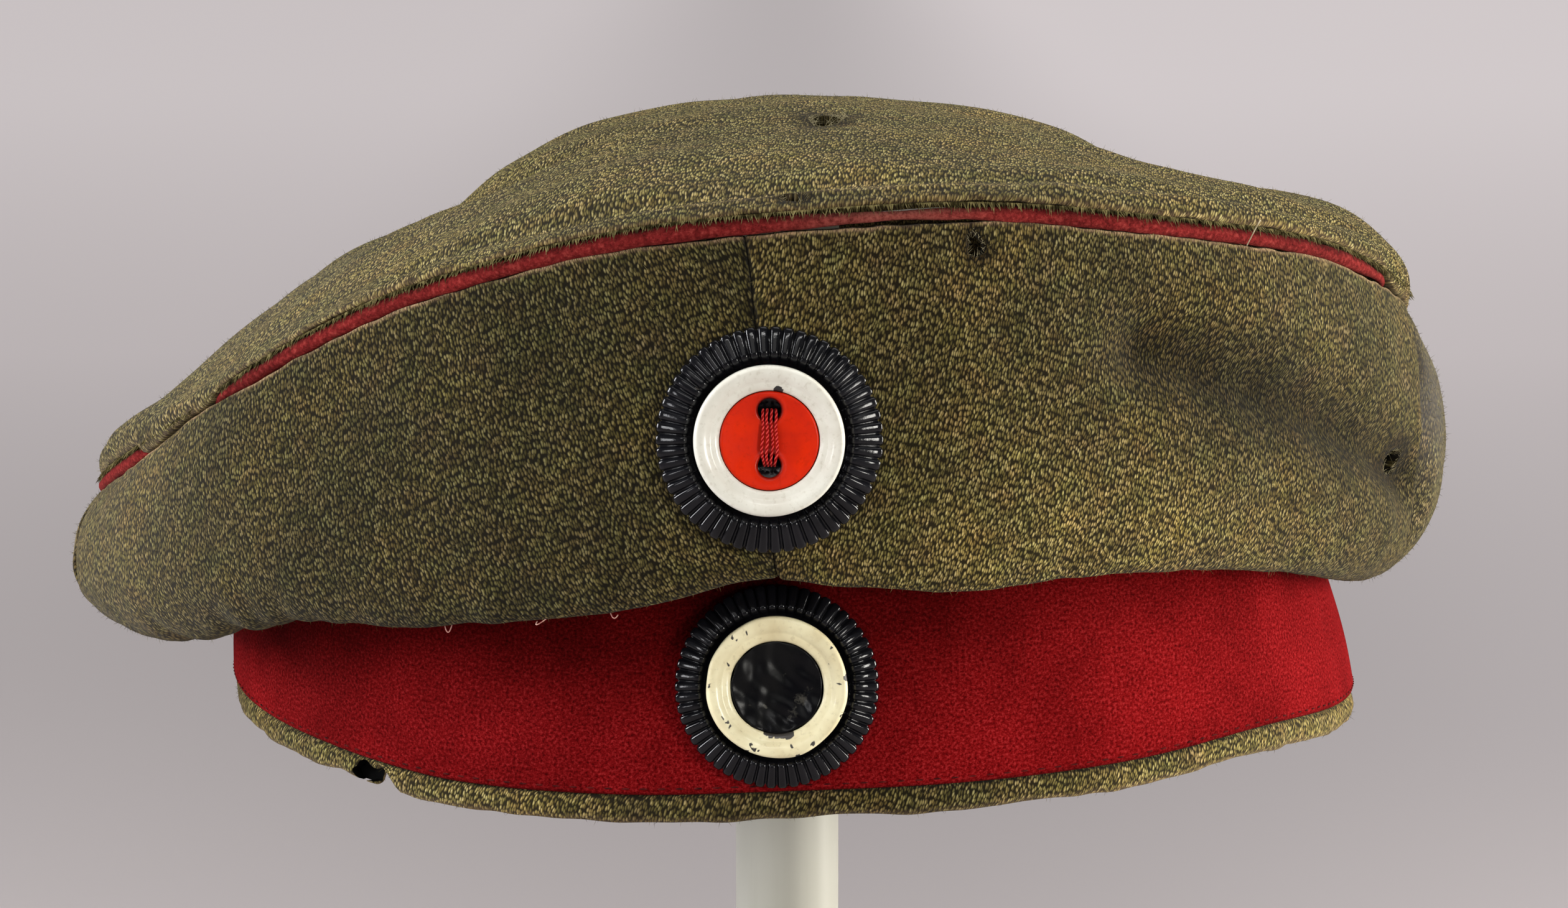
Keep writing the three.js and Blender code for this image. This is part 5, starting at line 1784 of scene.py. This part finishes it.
# %% [markdown]
# ## Stage and light
# A wide pale floor fills the whole view behind the cap, because the camera looks slightly down. A very
# soft sun lights it evenly from above. Boxes and strips with narrow beams stand at both sides: they light
# the ends of the crown and glint on the flutes, and leave no bright patch on the floor. The front stays
# darkest, as in the photograph, with only a weak fill.

# %% Floor
FLOOR_SIZE = 24000.0
FLOOR_DEPTH = 4.0
# Painted light: the floor is darker near the cap and paler far back.
FLOOR_PAINTED_FALLOFF = ((0.0, (0.37, 0.337, 0.337)), (0.35, (0.55, 0.50, 0.50)), (1.0, (0.68, 0.623, 0.623)))
SIDE_REACH = 0.3
# Painted light: paler towards both sides.
RIGHT_GAIN = (1.38, 1.38, 1.38)
LEFT_GAIN = (1.26, 1.26, 1.26)


def floor_material():
    """Pale paper with painted light: darker near the cap, paler farther back and at the sides."""
    material, tree = finish_material("pale_floor", 0.9, 0.1)
    axes = add(tree, "ShaderNodeSeparateXYZ", {"Vector": object_spot(tree)}, None)
    colour = ramp(tree, span(tree, axes["Y"], 0.0, FLOOR_DEPTH), *FLOOR_PAINTED_FALLOFF)
    colour = shade(tree, colour, RIGHT_GAIN, span(tree, axes["X"], 0.0, SIDE_REACH))
    colour = shade(tree, colour, LEFT_GAIN, span(tree, axes["X"], -SIDE_REACH, 0.0, 1.0, 0.0))
    return painted(material, colour)


half = FLOOR_SIZE / 2
floor_points = [(-half, -half, 0), (half, -half, 0), (half, half, 0), (-half, half, 0)]
floor = mesh_piece("pale_floor", floor_points, [[0, 1, 2, 3]], floor_material(), False)
print("floor is", FLOOR_SIZE * MM, "m wide")

# %% Lights and world
# name, place in metres, watts, width, height, colour, spread of the beam in degrees
LAMPS = [
    ("right_box", (0.60, -0.77, 0.27), 0.97, 0.16, 0.28, (1.0, 0.97, 0.90), 90),
    ("right_rim", (0.84, 0.02, 0.22), 2.35, 0.2, 0.5, (1.0, 0.96, 0.88), 90),
    ("left_strip", (-0.80, -0.14, 0.42), 2.25, 0.2, 0.5, (0.98, 0.98, 1.0), 90),
    ("top_strip", (0.1, -0.9, 0.95), 0.55, 0.8, 0.05, (1.0, 0.99, 0.97), 90),
    ("left_box", (-0.62, -0.77, 0.25), 0.24, 0.12, 0.2, (0.98, 0.98, 1.0), 90),
    ("front_fill", (-0.2, -1.7, 1.2), 3.0, 1.2, 0.8, (1.0, 0.98, 0.95), 180),
]
SUN_STRENGTH = 1.85
SUN_SOFTNESS = 70
SUN_TURNS = (-22, 12, 0)
WORLD_COLOUR = (0.95, 0.96, 1.0, 1)
WORLD_STRENGTH = 0.16

for name, position, watts, width, height, colour, spread in LAMPS:
    light = bpy.data.lights.new(name, "AREA")
    light.shape = "RECTANGLE"
    light.size = width
    light.size_y = height
    light.energy = watts
    light.spread = math.radians(spread)
    light.color = colour
    lamp = bpy.data.objects.new(name, light)
    lamp.location = position
    lamp.rotation_euler = (AIM - Vector(position)).to_track_quat("-Z", "Y").to_euler()
    scene.collection.objects.link(lamp)
sun = bpy.data.lights.new("soft_sky", "SUN")
sun.energy = SUN_STRENGTH
sun.angle = math.radians(SUN_SOFTNESS)
sun_lamp = bpy.data.objects.new("soft_sky", sun)
sun_lamp.rotation_euler = [math.radians(turn) for turn in SUN_TURNS]
scene.collection.objects.link(sun_lamp)
world = bpy.data.worlds.new("studio")
world.use_nodes = True
sky = world.node_tree.nodes["Background"].inputs
sky["Color"].default_value = WORLD_COLOUR
sky["Strength"].default_value = WORLD_STRENGTH
scene.world = world
scene.view_settings.view_transform = "Standard"
print("stage and", len(bpy.data.lights), "lights")
